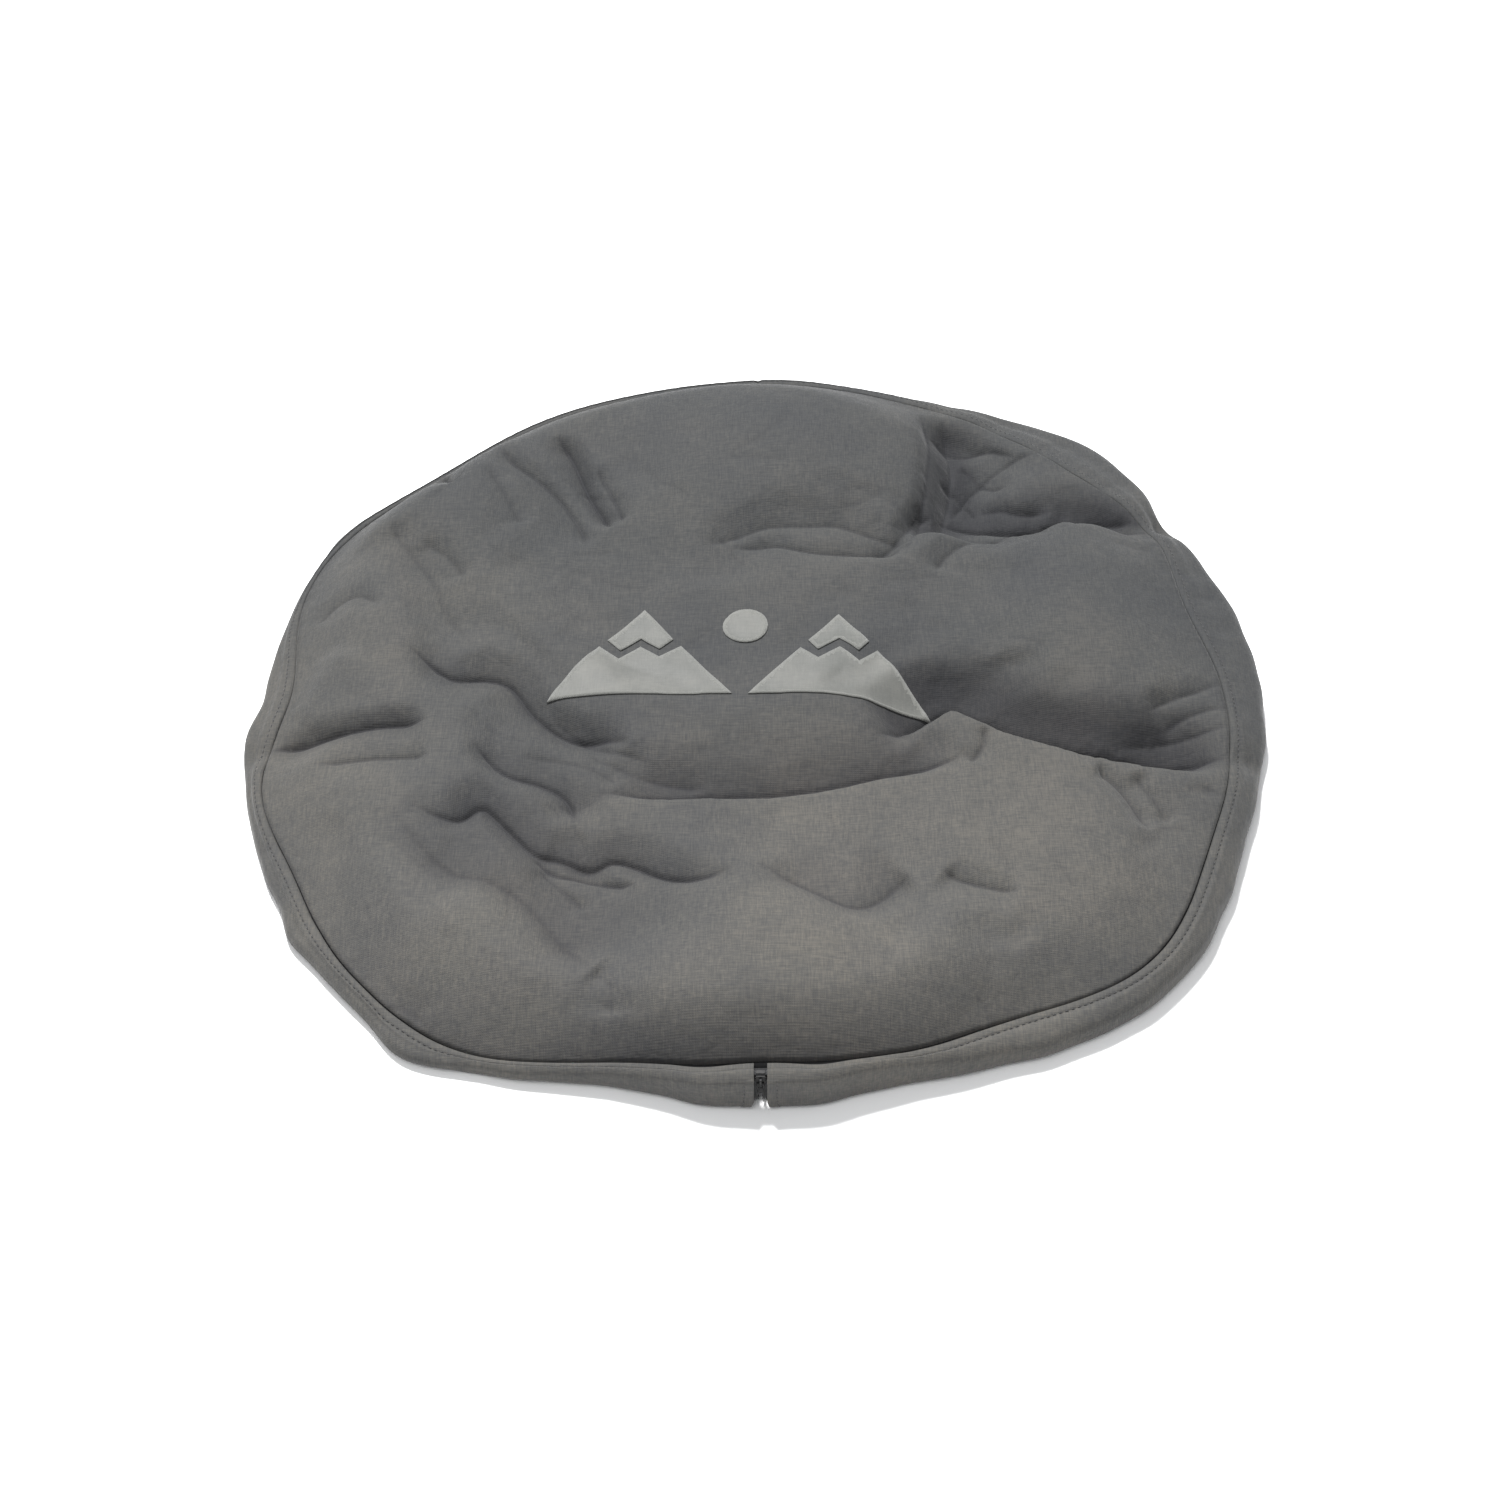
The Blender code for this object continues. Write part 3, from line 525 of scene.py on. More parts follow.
# The settling of the face: a cut too large by a share of its size, and the furthest move of a point.
SETTLE_GRID = 128
SETTLE_FRAMES = 24
GROWTH = 0.016
LONGEST_MOVE = 0.004
CLOTH_STIFFNESS = 15.0
CLOTH_BENDING = 0.6
CLOTH_MASS = 0.35
AIR_DAMPING = 4


def smooth_line(points, steps=5):
    """A Catmull-Rom curve through a few points."""
    points = np.array(points, float)
    ends = with_ends(points)
    share = np.arange(steps)[:, None] / steps
    found = [catmull_rom(a, b, c, d, share) for a, b, c, d in zip(ends, ends[1:], ends[2:], ends[3:])]
    return np.concatenate([*found, points[-1:]])


def to_segment(points, a, b):
    """How far along a segment its nearest place to each point lies, and the way from there."""
    along = b - a
    t = np.clip(((points - a) @ along) / (along @ along), 0, 1)
    return t, points - (a + t[:, None] * along)


def signed_distance(points, line):
    """Distance to a line, positive on its left, and the share of the line that has passed."""
    best = np.full(len(points), np.inf)
    signed, share = np.zeros(len(points)), np.zeros(len(points))
    for k, (a, b) in enumerate(zip(line, line[1:])):
        t, off = to_segment(points, a, b)
        distance = np.hypot(off[:, 0], off[:, 1])
        side = np.where((b - a)[0] * off[:, 1] - (b - a)[1] * off[:, 0] < 0, -1, 1)
        nearer = distance < best
        best[nearer] = distance[nearer]
        signed[nearer] = (distance * side)[nearer]
        share[nearer] = ((k + t) / (len(line) - 1))[nearer]
    return signed, share


def faded(share, ends=0.2):
    return smoothstep(0, ends, share) * smoothstep(0, ends, 1 - share)


def crease(signed, far, near, sharpness):
    """1 along the bottom of a fold, with a flat slope on each side up to a slightly rounded ridge."""
    reach = SLOPE_REACH * np.where(signed > 0, far, near)
    left = 1 - (np.sqrt(signed**2 + sharpness**2) - sharpness) / reach
    return 0.5 * (left + np.sqrt(left**2 + RIDGE_ROUNDING**2)) * (1 - smoothstep(1.2, 2.2, 1 - left))


def near_line(points, line, reach):
    """The points in millimetres that lie within reach of a line's box."""
    line = np.array(line)
    inside = (points > line.min(0) - reach) & (points < line.max(0) + reach)
    return np.where(inside.all(1))[0]


def add_fold(total, points, depth, far, near, line, sharpness):
    close = near_line(points, line, 5 * max(far, near))
    signed, share = signed_distance(points[close], smooth_line(line))
    total[close] -= faded(share) * depth * crease(signed, far, near, sharpness)


def face_design(points):
    """Height of the slack face, without its pressed creases."""
    direction, inset = from_seam(points)
    inset = inset * 1000
    height = np.full(len(points), FACE_LEVEL * 1000)
    for centre, radius, rise in SWELLS:
        away = np.hypot(*(points * 1000 - centre).T)
        height += rise * np.exp(-((away / radius) ** 2))
    share = np.clip(inset / around(RIM_WIDTH, direction), 0, 1)
    level = seam_height(direction) * 1000
    height = level + (height - level) * (1 - (1 - share) ** RIM_CURVE)
    folds = np.zeros(len(points))
    for depth, far, near, _, line in FOLDS:
        add_fold(folds, points * 1000, FOLD_STRENGTH * depth, far, near, line, 1.6)
    for rise, far, near, line in RIDGES:
        add_fold(folds, points * 1000, -rise, far, near, line, 8.0)
    folds = np.where(folds < 0, DEEPEST * np.tanh(folds / DEEPEST), folds)
    height += folds * smoothstep(-4, 26, inset)
    pucker = 0.5 * ripple(direction, 150, 1.3) * np.exp(-inset / 9) * smoothstep(0, 3, inset)
    return (height + pucker) / 1000


def minor_creases():
    """Faint creases where the cloth was crumpled: depth, width and line, in millimetres."""
    rng = np.random.default_rng(7)
    found = []
    for _ in range(MINOR_CREASES):
        angle, radius = rng.uniform(0, 2 * math.pi), 330 * math.sqrt(rng.uniform(0, 1))
        start = np.array([radius * math.cos(angle), radius * math.sin(angle)])
        heading = rng.normal(-0.35, 0.75)
        length = rng.uniform(22, 85)
        bend = rng.normal(0, 0.35)
        line = [start]
        for _ in range(3):
            line.append(line[-1] + length / 3 * np.array([math.cos(heading), math.sin(heading)]))
            heading += bend + rng.normal(0, 0.2)
        depth, width = rng.uniform(0.3, 1.1), rng.uniform(2.0, 5.0)
        found.append((depth * rng.choice((1.0, 1.0, -0.8)), width, line))
    return found


MINOR = minor_creases()


def crease_design(points):
    """The sharp pressed creases along the folds, and the faint ones."""
    _, inset = from_seam(points)
    total = np.zeros(len(points))
    for *_, pressed, line in FOLDS:
        add_fold(total, points * 1000, PRESSED_STRENGTH * pressed, 1.3, 1.3, line, 0.4)
    for depth, width, line in MINOR:
        add_fold(total, points * 1000, depth, width, 1.8 * width, line, 0.6)
    return total / 1000 * smoothstep(0.0, 0.012, inset)


def painted_crease_shade(points):
    """Painted shade, from 0 to 1: how far the cloth is darkened in creases, in deep folds and above the
    crease in front, where shade falls.
    """
    direction, inset = from_seam(points)
    # painted shade above the crease in front, where the face slopes down to the seam
    total = -0.75 * bump_at(direction, 266, 38) * np.exp(-inset / 0.02)
    for depth, far, near, pressed, line in FOLDS:
        # painted shade along the pressed creases, and inside the deep folds
        add_fold(total, points * 1000, 0.5 * pressed, 1.0, 1.0, line, 0.5)
        if depth >= DEEP_FOLD:
            add_fold(total, points * 1000, depth / 17, 1.3 * far, 0.5 * near, line, 2.0)
    for depth, _, line in MINOR:
        add_fold(total, points * 1000, 0.22 * max(depth, 0), 0.8, 0.8, line, 0.5)
    return np.clip(-total, 0, 1)


def rows_beside(line, step, offsets):
    """Points at even steps along a line in millimetres and along its parallels, in metres."""
    curve = smooth_line(line) / 1000
    reach = reach_along(curve)
    middle = read_at(np.arange(0, reach[-1], step), reach, curve)
    across = sideways(middle)
    return np.concatenate([middle + offset * across for offset in offsets])


def thinned(points, gap, taken=()):
    """The points that keep their distance from the taken ones and from those before them. Each cell of
    a square grid holds one of them at most."""
    cells = {}
    kept = []
    for number, point in enumerate([*taken, *points]):
        row, column = int(point[0] // gap), int(point[1] // gap)
        if number >= len(taken):
            near = [cells.get((row + i, column + j)) for i in (-1, 0, 1) for j in (-1, 0, 1)]
            if (row, column) in cells or any(n is not None and math.dist(point, n) < gap for n in near):
                continue
            kept.append(point)
        cells[row, column] = point
    return np.array(kept)


def face_plan():
    """Plan points and triangles of the face, dense along its creases."""
    turns = np.linspace(0, 2 * math.pi, RIM_POINTS, endpoint=False)
    seam = seam_radius(turns)
    beside_seam = [on_plan(turns, seam - inset) for inset in SEAM_ROWS]
    folds = [rows_beside(line, FOLD_STEP, FOLD_ROWS) for *_, line in FOLDS]
    faint = [rows_beside(line, FAINT_STEP, FAINT_ROWS) for *_, line in MINOR]
    dense = thinned(np.concatenate([*beside_seam, *folds]), FOLD_GAP)
    dense = np.concatenate([dense, thinned(np.concatenate(faint), FAINT_GAP, dense)])
    line = np.arange(-0.4, 0.4, PLAIN_STEP)
    x, y = np.meshgrid(line, line * 0.866)
    x = x + (np.arange(len(line)) % 2)[:, None] * PLAIN_STEP / 2
    plain = thinned(np.stack([x.ravel(), y.ravel()], 1), PLAIN_GAP, dense)
    inside = np.concatenate([dense, plain])
    _, room = from_seam(inside)
    plan, faces = triangulated(on_plan(turns, seam), inside[room > 0.0018])
    a, b, c = (plan[faces[:, k]] for k in range(3))
    clockwise = np.cross(b - a, c - a) < 0
    faces[clockwise] = faces[clockwise][:, ::-1]
    return plan, faces


def disc_grid(count):
    """An even square grid, mapped onto the face, and the share of the radius."""
    line = np.linspace(-1, 1, count)
    u, v = np.meshgrid(line, line, indexing="ij")
    x, y = u * np.sqrt(1 - v**2 / 2), v * np.sqrt(1 - u**2 / 2)
    share = np.hypot(x, y).ravel()
    direction = np.arctan2(y, x).ravel()
    return on_plan(direction, share * seam_radius(direction)), share


def settle(obj, held):
    """Lets a sheet that is cut a little too large buckle between its held points, and gives each
    point's move."""
    start = evaluated_points(obj)
    group = obj.vertex_groups.new(name="held")
    group.add([int(index) for index in np.where(held)[0]], 1.0, "REPLACE")
    cloth = obj.modifiers.new("settle", "CLOTH")
    settings = cloth.settings
    settings.quality = 5
    settings.mass = CLOTH_MASS
    settings.tension_stiffness = settings.compression_stiffness = CLOTH_STIFFNESS
    settings.shear_stiffness = CLOTH_STIFFNESS / 2
    settings.bending_stiffness = CLOTH_BENDING
    settings.air_damping = AIR_DAMPING
    settings.vertex_group_mass = "held"
    settings.pin_stiffness = 1.0
    settings.shrink_min = settings.shrink_max = -GROWTH
    settings.effector_weights.gravity = 0
    cloth.collision_settings.use_collision = False
    cloth.point_cache.frame_start = 1
    cloth.point_cache.frame_end = SETTLE_FRAMES
    for step in range(1, SETTLE_FRAMES + 1):
        bpy.context.scene.frame_set(step)
    move = evaluated_points(obj) - start
    obj.modifiers.remove(cloth)
    bpy.context.scene.frame_set(1)
    length = np.linalg.norm(move, axis=1, keepdims=True)
    return move * np.minimum(1, LONGEST_MOVE / np.maximum(length, 1e-9))


def square_place(base, lean):
    """Where a point of the disc lies on the square grid, from -1 to 1."""
    place = 0.5 * (np.sqrt(np.maximum(base + lean, 0)) - np.sqrt(np.maximum(base - lean, 0)))
    return np.clip(place, -1, 1)


def sampled(values, points):
    """Reads values given on the disc grid smoothly at any points of the face."""
    direction, radius = polar(points)
    share = np.minimum(radius / seam_radius(direction), 1)
    x, y = share * np.cos(direction), share * np.sin(direction)
    twist, lean = x**2 - y**2, 2 * math.sqrt(2)
    last = len(values) - 1
    rows = (square_place(2 + twist, lean * x) + 1) / 2 * last
    columns = (square_place(2 - twist, lean * y) + 1) / 2 * last
    row, column = (np.minimum(place.astype(int), last - 1) for place in (rows, columns))
    down, over = (rows - row)[:, None], (columns - column)[:, None]
    lines = []
    for k in (-1, 0, 1, 2):
        near = np.clip(row + k, 0, last)
        beside = (values[near, np.clip(column + j, 0, last)] for j in (-1, 0, 1, 2))
        lines.append(catmull_rom(*beside, over))
    return catmull_rom(*lines, down)


def face_cloth():
    points, faces = face_plan()
    shape = np.column_stack([points, face_design(points)])
    coarse, share = disc_grid(SETTLE_GRID)
    start = np.column_stack([coarse, face_design(coarse)])
    trial = make_mesh("face_trial", start, grid_faces(SETTLE_GRID, SETTLE_GRID))
    move = settle(trial, held=share > 0.999) * (1 - smoothstep(0.84, 0.99, share)[:, None])
    bpy.data.objects.remove(trial)
    shape += sampled(move.reshape(SETTLE_GRID, SETTLE_GRID, 3), points)
    shape[:, 2] += crease_design(points)
    obj = make_mesh("face_cloth", shape, faces, CANVAS)
    # painted shade for the creases and folds, kept on the face's points
    painted_shade = obj.data.attributes.new("painted_crease_shade", "FLOAT", "POINT")
    painted_shade.data.foreach_set("value", painted_crease_shade(points))
    add_thickness(obj, CLOTH)
    return register(obj, "canvas", "face_panel")


# -------- band
RIDGE = 0.007  # width of the seam allowance beside the face seam, up to its stitching
STITCH_ROW = 4  # control point of the section that the stitching follows
UNDERSIDE = 0.0008  # the cloth's outer side clears the surface by this
BAND_DEPTH = 0.1285  # from the edge to the hem casing, under the cover
BOTTOM_FOLD = 0.007
SECTION_STEPS = (2, 3, 3, 3, 3, 4, 4, 3, 3, 3, 3, 3, 5, 6, 7, 8)
HALF_SLIT = 0.0043
SLIT_FLARE = 0.0022
HALF_SLIT_AT_HEM = 0.014
TOPSTITCH = (0.0032, 0.0013, 0.00042)  # a stitch's length, the gap to the next one and its radius
SLIT_STITCH = (0.0028, 0.0012, 0.00034)
HEM_STITCH = (0.0032, 0.0014, 0.0004)
SLIT_STITCH_COLUMN = 5
HEM_STITCH_ROW = -3
GATHER_HEIGHT = 0.0032
JOIN_DEPTH = 0.0012  # how far the far join's seam draws the cloth in
HEM_INSET = 0.135  # from the CAD's edge to the middle of the hem's tube
TUBE_RADIUS = 0.0044
TUBE_HEIGHT = 0.0046
TUBE_CLOTH = 0.001
# Creases of the band in the form of the face's folds, running out from the seam.
BAND_FOLDS = (
    (1.6, 4, 6, ((88, -336), (112, -341), (140, -347), (172, -350))),
    (6.0, 7, 7, ((310, 192), (334, 190), (352, 190))),
    (3.0, 6, 6, ((340, -70), (358, -71), (376, -73))),
    (3.0, 5, 6, ((-345, -57), (-360, -59), (-378, -62))),
    (1.0, 5, 5, ((338, 62), (356, 66), (374, 72))),
    (1.2, 5, 5, ((330, 92), (350, 100), (370, 112))),
    (0.9, 5, 5, ((325, 120), (345, 132), (364, 148))),
    (1.6, 6, 8, ((182, 292), (196, 310), (214, 330))),
    (1.4, 6, 8, ((226, 268), (242, 282), (262, 296))),
    (1.3, 5, 7, ((148, 316), (156, 332), (170, 350))),
    (1.4, 5, 6, ((268, 220), (290, 234), (310, 250))),
    (1.4, 5, 6, ((-296, -206), (-312, -218), (-330, -230))),
    (1.2, 5, 6, ((-330, -146), (-346, -152), (-362, -158))),
    (1.5, 5, 6, ((-240, -290), (-256, -304), (-272, -322))),
    (1.2, 5, 6, ((236, -284), (252, -292), (270, -300))),
)


def row_of(control):
    """Row of the dense section at one of its control points."""
    return sum(SECTION_STEPS[:control])


def band_section(direction):
    """Control points (radius, height) from the face seam over the roll and under to the hem."""
    edge, seam, level = edge_radius(direction), seam_radius(direction), seam_height(direction)
    width = edge - seam
    ridge = np.minimum(RIDGE, 0.45 * width)
    crest = level + around(CREST_RISE, direction) / 1000
    back = 0.48 * (width - 0.6 * ridge)  # from the edge to the crest
    square = bump_at(direction, 270, 13)
    fold = np.minimum(BOTTOM_FOLD, 0.42 * crest)
    outside = seam + ridge
    full = 0.0012 * (1 - square)
    rows = [
        (seam, level - 0.0024),
        (seam + 0.12 * ridge, level - 0.0004),
        (seam + 0.4 * ridge, level + 0.0004),
        (seam + 0.78 * ridge, level + 0.0003),
        (outside, level - 0.0004),
        ((outside + edge - back) / 2, (level + crest) / 2 + full),
        (edge - back, crest + 0.4 * full),
        (edge - back * (0.42 - 0.27 * square), crest * (0.905 + 0.005 * square)),
        (edge - back * (0.1 - 0.09 * square), crest * (0.72 + 0.08 * square)),
        (edge, np.maximum(0.5 * crest, 1.1 * fold)),
        (edge, fold),
        (edge - 0.293 * fold, 0.293 * fold + UNDERSIDE),
        (edge - fold, UNDERSIDE),
        (edge - 0.03, UNDERSIDE),
        (edge - 0.06, UNDERSIDE),
        (edge - 0.095, UNDERSIDE),
        (around(CAD_OUTLINE, direction) - BAND_DEPTH, UNDERSIDE),
    ]
    return [(r * np.ones_like(direction), z * np.ones_like(direction)) for r, z in rows]


def dense_section(direction):
    """The section's radii and heights with every step between its control points."""
    found = []
    for controls in zip(*band_section(direction)):
        ends = with_ends(np.array(controls))
        rows = [catmull_rom(*ends[k:k + 4], step / steps)
                for k, steps in enumerate(SECTION_STEPS) for step in range(steps)]
        found.append(np.stack([*rows, controls[-1]], 1))
    return found


def lay_out(direction, radius, height):
    """World points from directions, radii and heights, straight across the slit."""
    turn = (direction - SLIT + math.pi) % (2 * math.pi) - math.pi
    straight = 1 - smoothstep(math.radians(4), math.radians(10), np.abs(turn))
    radius = radius * (1 + straight * (1 / np.cos(turn) - 1))
    return in_space(direction, radius, height)


def half_gap(radius, height):
    """Half the slit's width, where the edges part at the bottom of the wall and under the cover."""
    slit_radius = edge_radius(SLIT)
    under = smoothstep(0, 1, (slit_radius - radius) / BAND_DEPTH) * (height < 0.003)
    flare = 1 - smoothstep(0.001, 0.012, height)
    return HALF_SLIT + SLIT_FLARE * flare + (HALF_SLIT_AT_HEM - HALF_SLIT - SLIT_FLARE) * under


def cleared(side, turns, half, radius):
    """Directions that run from the slit's edge, half its width from the middle, to the far join."""
    first = np.arcsin(half / radius)
    return SLIT + side * (first + turns * (1 - first / math.pi))


# Turns from the slit to the far join, close together beside the slit's edge, where they are given as
# millimetres along the wall.
WALL_RADIUS = 357
EDGE_TURNS = np.array([0, 0.6, 1.6, 3.0, 5.0, 6.2, 7.2, 9.0]) / WALL_RADIUS
BAND_TURNS = np.concatenate([EDGE_TURNS, np.linspace(0.034, math.pi, 330)])


def band_grid(side):
    """Points of half a band, from the slit to the far join, as (directions, section, 3)."""
    direction = SLIT + side * BAND_TURNS
    radius, height = dense_section(direction)
    rows = np.arange(radius.shape[1])
    # Gathers: the cloth under the cover is drawn together by the hem's elastic.
    share = np.clip((edge_radius(direction)[:, None] - radius) / BAND_DEPTH, 0, 1)
    from_slit = smoothstep(0.1, 0.24, BAND_TURNS)[:, None]
    under = smoothstep(0.15, 1.0, share) * (rows > row_of(12)) * from_slit
    wave = ripple(direction, 96, 0.7)[:, None] + 0.4 * ripple(direction, 41, 2.1)[:, None]
    height = height + under * GATHER_HEIGHT * np.clip(1 + wave, 0, 3) * (0.5 + 0.5 * share)
    # Puckers beside the seam's stitching, and a slack, uneven wall.
    pucker = np.exp(-((rows - row_of(STITCH_ROW)) / 5.0) ** 2)
    height = height + 0.00035 * pucker * ripple(direction, 170, 0.4)[:, None]
    wall = np.exp(-((rows - row_of(9)) / 7.0) ** 2)
    radius = radius + 0.0011 * wall * from_slit * ripple(direction, 34, 1.9)[:, None]
    # The slit's edges are doubled by the facing, so they stand out a little.
    doubled = 1 - smoothstep(5.2, 6.6, BAND_TURNS * WALL_RADIUS)[:, None]
    upright = (rows > row_of(7)) & (rows < row_of(11))
    radius = radius + 0.0006 * doubled * upright
    radius = radius - JOIN_DEPTH * np.exp(-(((math.pi - BAND_TURNS) / 0.004) ** 2))[:, None]
    turned = cleared(side, BAND_TURNS[:, None], half_gap(radius, height), radius)
    points = lay_out(turned, radius, height)
    added = np.zeros(points.shape[:2]).ravel()
    plan = points[..., :2].reshape(-1, 2) * 1000
    for depth, far, near, line in BAND_FOLDS:
        add_fold(added, plan, depth, far, near, line, 1.5)
    top = 1 - smoothstep(row_of(6), row_of(9), rows)
    points[..., 2] += added.reshape(points.shape[:2]) / 1000 * top
    points[..., 2] = np.maximum(points[..., 2], UNDERSIDE)
    return points


def band_cloth(side):
    points = band_grid(side)
    obj = grid_mesh(side_name("band_cloth", side), points, CANVAS, flip=side > 0)
    add_thickness(obj, CLOTH)
    normals = grid_normals(points) * -side

    def sewn(stem, part, stitch, *replaced):
        thread = stitches(side_name(stem, side), points[part], normals[part], *stitch)
        return register(thread, "thread", *replaced)

    beside_seam = (slice(8, None), row_of(STITCH_ROW) - 1)
    threads = [sewn("topstitch", beside_seam, TOPSTITCH, side_name("face_topstitch", side)),
               sewn("slit_stitching", (SLIT_STITCH_COLUMN, slice(row_of(7), row_of(14))), SLIT_STITCH),
               sewn("hem_stitching", (slice(10, None), HEM_STITCH_ROW), HEM_STITCH)]
    return register(obj, "canvas", side_name("side_band", side), side_name("turned_under", side))


def hem_casing(side):
    """The hem's tube round the elastic, drawn up in gathers, with its ends open."""
    turns = np.linspace(0, math.pi, 420)
    direction = SLIT + side * turns
    middle = around(CAD_OUTLINE, direction) - HEM_INSET
    turned = cleared(side, turns, HALF_SLIT_AT_HEM, middle)
    angles = np.linspace(0, 2 * math.pi, 16, endpoint=False)
    gather = ripple(direction, 118, 0.9)[:, None] + 0.4 * ripple(direction, 61, 0.2)[:, None]
    size = TUBE_RADIUS * (1 + 0.14 * gather * (1 + 0.5 * np.cos(angles - 0.8)))
    radius = middle[:, None] + size * np.cos(angles)
    height = np.maximum(TUBE_HEIGHT - size * np.sin(angles), UNDERSIDE + 0.0006)
    points = lay_out(turned[:, None] + 0 * angles, radius, height)
    obj = grid_mesh(side_name("hem_tube", side), points, CANVAS, flip=side < 0, closed=True)
    add_thickness(obj, TUBE_CLOTH)
    return register(obj, "canvas", side_name("hem_casing", side))


# -------- strips inside the cover
def inner_strip(name, facing, columns, depth, thick, first, last, finish, slot, replaced, spread=None):
    """A strip of cloth that follows the band's inner side. columns are its places across, from the
    slit's line, and facing is the direction that the band faces there."""
    radius, height = (values[0] for values in dense_section(np.array([facing])))
    outer = np.stack([radius, height], 1)
    inner = outer - depth * sideways(outer)
    keep = slice(first, last)
    sign = 1 if facing < math.pi else -1
    rows = []
    for (r, z), r0, z0 in zip(inner[keep], radius[keep], height[keep]):
        extra = spread(r0, z0) if spread else 0.0
        rows.append([(CENTRE[0] + x + math.copysign(extra, x), sign * r, z) for x in columns])
    points = np.array(rows)
    flip = (columns[-1] > columns[0]) != (sign > 0)
    obj = grid_mesh(name, points, finish, flip)
    add_thickness(obj, thick, offset=0.0)
    return register(obj, slot, replaced)


def slit_spread(radius, height):
    return float(half_gap(radius, height)) - HALF_SLIT


def strips():
    for side in (-1, 1):
        inner_strip(side_name("slit_fold", side), SLIT, side * np.linspace(0.0041, 0.016, 8), 0.0024, 0.001,
                    row_of(7), row_of(15) + 4, CANVAS, "canvas", side_name("slit_facing", side), slit_spread)
        inner_strip(side_name("woven_zip_tape", side), SLIT, side * np.linspace(0.003, 0.013, 7),
                    0.0038, 0.0007, row_of(7), row_of(15) + 5,
                    TAPE, "zip_tape", side_name("zip_tape", side), slit_spread)
    inner_strip("slit_top_patch", SLIT, np.linspace(-0.01, 0.01, 9), 0.0021, 0.0008,
                row_of(3), row_of(7) - 1, LINING, "lining", "slit_end_patch")
    inner_strip("join_tape", FAR_JOIN, np.linspace(-0.008, 0.008, 7), 0.0022, 0.001,
                row_of(7), row_of(14), LINING, "lining", "band_join_tape")


def seam_tape():
    """The bound seam allowance, hanging inside the cover under the whole face seam."""
    direction = np.linspace(0, 2 * math.pi, 480, endpoint=False)
    seam, level = seam_radius(direction), seam_height(direction) - CLOTH - 0.0013
    hang = np.minimum(1, (level - 0.0045) / 0.0088)
    lean = 0.0006 * ripple(direction, 60, 1.1)
    half = 0.0011
    section = ((-half, 0), (half, 0), (1.25 * half, -0.004), (0.9 * half, -0.008), (0, -0.0088),
               (-0.9 * half, -0.008), (-1.25 * half, -0.004))
    radius = np.stack([seam - 0.0012 + x + lean * (z / -0.008) for x, z in section], 1)
    height = np.stack([level + hang * z for _, z in section], 1)
    points = in_space(direction[:, None], radius, height)
    closed = np.concatenate([points, points[:1]])
    faces = grid_faces(len(closed), len(section), closed=True) % (len(direction) * len(section))
    obj = make_mesh("seam_tape", points.reshape(-1, 3), faces[:, ::-1], LINING)
    return register(obj, "lining", "seam_binding")


# -------- emblem
PATCH_STEP = 0.0024
EDGE_STITCH = 0.003


def node_outline(name):
    """The outline of a flat CAD plate's upper side."""
    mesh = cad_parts[name].data
    top = max(vert.co.z for vert in mesh.vertices)
    sides = set()
    for polygon in mesh.polygons:
        spots = [mesh.vertices[index].co for index in polygon.vertices]
        if min(spot.z for spot in spots) > top - 0.0001:
            corners = [(round(spot.x, 6), round(spot.y, 6)) for spot in spots]
            sides.update(zip(corners, corners[1:] + corners[:1]))
    following = {a: b for a, b in sides if (b, a) not in sides}
    outline = [min(following)]
    while following[outline[-1]] != outline[0]:
        outline.append(following[outline[-1]])
    return np.array(outline)


def resampled_ring(outline, step):
    found = []
    for a, b in zip(outline, np.roll(outline, -1, axis=0)):
        count = max(1, round(float(np.linalg.norm(b - a)) / step))
        found.extend(a + (b - a) * k / count for k in range(count))
    return np.array(found)


def ring_distance(points, ring):
    """Distance to a closed ring, and whether each point lies inside it."""
    closed = np.concatenate([ring, ring[:1]])
    best = np.full(len(points), np.inf)
    inside = np.zeros(len(points), bool)
    for a, b in zip(closed, closed[1:]):
        _, off = to_segment(points, a, b)
        best = np.minimum(best, np.hypot(*off.T))
        crosses = (a[1] > points[:, 1]) != (b[1] > points[:, 1])
        rise = b[1] - a[1] if b[1] != a[1] else 1e-12
        inside ^= crosses & (points[:, 0] < a[0] + (points[:, 1] - a[1]) * (b[0] - a[0]) / rise)
    return best, inside


def patch(name, surface):
    """A satin patch that lies on the face's folds, with a band of close stitching round its edge."""
    outline = node_outline(name)
    ring = resampled_ring(outline, PATCH_STEP / 2)
    low, high = outline.min(0), outline.max(0)
    x, y = np.meshgrid(np.arange(low[0], high[0], PATCH_STEP), np.arange(low[1], high[1], PATCH_STEP))
    filling = np.stack([x.ravel(), y.ravel()], 1)
    filling[:, 0] += (np.round((filling[:, 1] - low[1]) / PATCH_STEP) % 2) * PATCH_STEP / 2
    distance, inside = ring_distance(filling, outline)
    filling = filling[inside & (distance > 0.6 * PATCH_STEP)]
    plan, faces = triangulated(ring, filling)
    distance, _ = ring_distance(plan, outline)
    rise = 0.0007 + 0.00045 * (1 - smoothstep(EDGE_STITCH * 0.75, EDGE_STITCH * 1.1, distance))
    points = []
    for (px, py), lift in zip(plan, rise):
        hit, normal, _, _ = surface.ray_cast(Vector((px, py, 0.2)), Vector((0, 0, -1)))
        points.append(hit + normal * float(lift))
    obj = make_mesh(name.replace("emblem", "patch"), points, faces, SATIN)
    obj.data.materials.append(SATIN_EDGE)
    from_edge, _ = ring_distance(plan[faces].mean(1), outline)
    obj.data.polygons.foreach_set("material_index", (from_edge < EDGE_STITCH).astype(np.int32))
    up = sum(polygon.normal.z for polygon in obj.data.polygons) > 0
    add_thickness(obj, 0.0009, offset=-1.0 if up else 1.0)
    return register(obj, "silver_print", name)


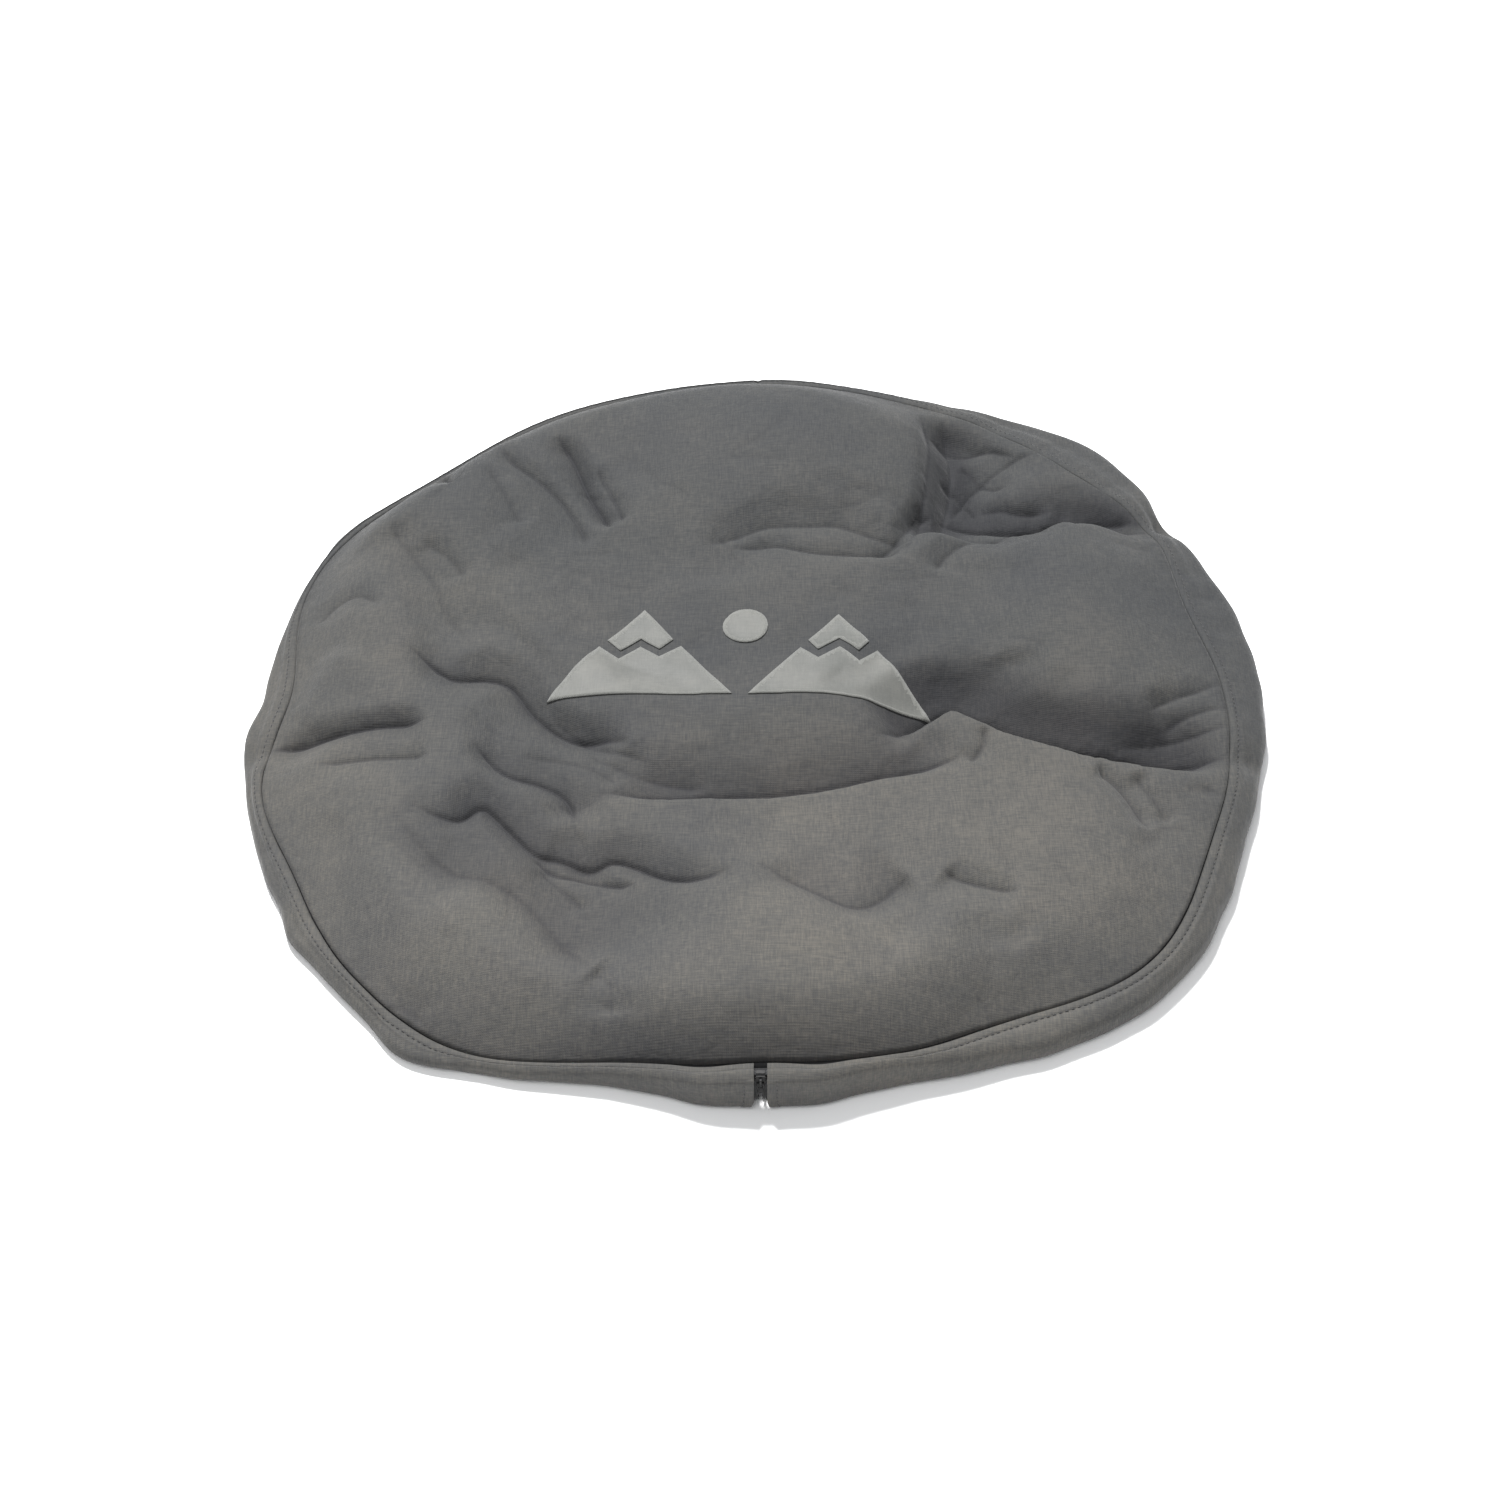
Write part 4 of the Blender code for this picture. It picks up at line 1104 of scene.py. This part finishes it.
def emblem(face):
    """All the patches of the emblem, laid on the face."""
    surface = BVHTree.FromObject(face, bpy.context.evaluated_depsgraph_get())
    for name in sorted(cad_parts):
        if name.startswith("emblem_"):
            patch(name, surface)


# -------- carried-over solids
def finish_solids():
    finishes = {"zip_teeth": RESIN, "zip_closed": NICKEL, "zip_open": NICKEL, "zip_slider": NICKEL,
                "zip_pull": NICKEL, "elastic": ELASTIC}
    for name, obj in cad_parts.items():
        for stem, finish in finishes.items():
            if name.startswith(stem):
                obj.material_slots[0].material = finish


# -------- stage
FLOOR_HALF = 40.0
FLOOR_COLOUR = (0.97, 0.97, 0.97)
# Lights: name, place, size across and power.
LIGHTS = (("key_behind_left", (-1.2, 3.0, 6.4), 1.1, 970), ("top", (-0.4, -1.8, 3.1), 2.0, 42))
SKY_COLOUR = (0.96, 0.98, 1)
SKY_STRENGTH = 0.46
VIEW_ELEVATION = math.radians(46)
VIEW_DISTANCE = 1.8
LENS = 58.6
LOOK_AT = Vector((-0.0046, -0.036, 0.0))


def floor():
    corners = [(x * FLOOR_HALF, y * FLOOR_HALF, 0) for x, y in ((-1, -1), (1, -1), (1, 1), (-1, 1))]
    made, _, shader = new_material("studio_floor")
    feed(shader, {"Base Color": (*FLOOR_COLOUR, 1), "Roughness": 0.6, "Specular IOR Level": 0.1})
    make_mesh("floor", corners, [(0, 1, 2, 3)], made)


def aimed(name, data, place, heading):
    obj = bpy.data.objects.new(name, data)
    obj.location = place
    obj.rotation_euler = heading.to_track_quat("-Z", "Y").to_euler()
    bpy.context.scene.collection.objects.link(obj)
    return obj


def light(name, place, size, energy):
    data = bpy.data.lights.new(name, "AREA")
    data.shape = "DISK"
    data.size = size
    data.energy = energy
    aimed(name, data, place, -Vector(place))


def camera():
    data = bpy.data.cameras.new("camera")
    data.lens = LENS
    data.sensor_width = 36
    away = Vector((0, -math.cos(VIEW_ELEVATION), math.sin(VIEW_ELEVATION)))
    bpy.context.scene.camera = aimed("camera", data, LOOK_AT + VIEW_DISTANCE * away, -away)


def studio():
    floor()
    for values in LIGHTS:
        light(*values)
    world = bpy.data.worlds.new("studio")
    bpy.context.scene.world = world
    world.use_nodes = True
    feed(world.node_tree.nodes["Background"], {"Color": (*SKY_COLOUR, 1), "Strength": SKY_STRENGTH})
    bpy.context.scene.view_settings.view_transform = "Standard"
    camera()


studio()
face = face_cloth()
for side in (-1, 1):
    band_cloth(side)
    hem_casing(side)
strips()
seam_tape()
emblem(face)
finish_solids()
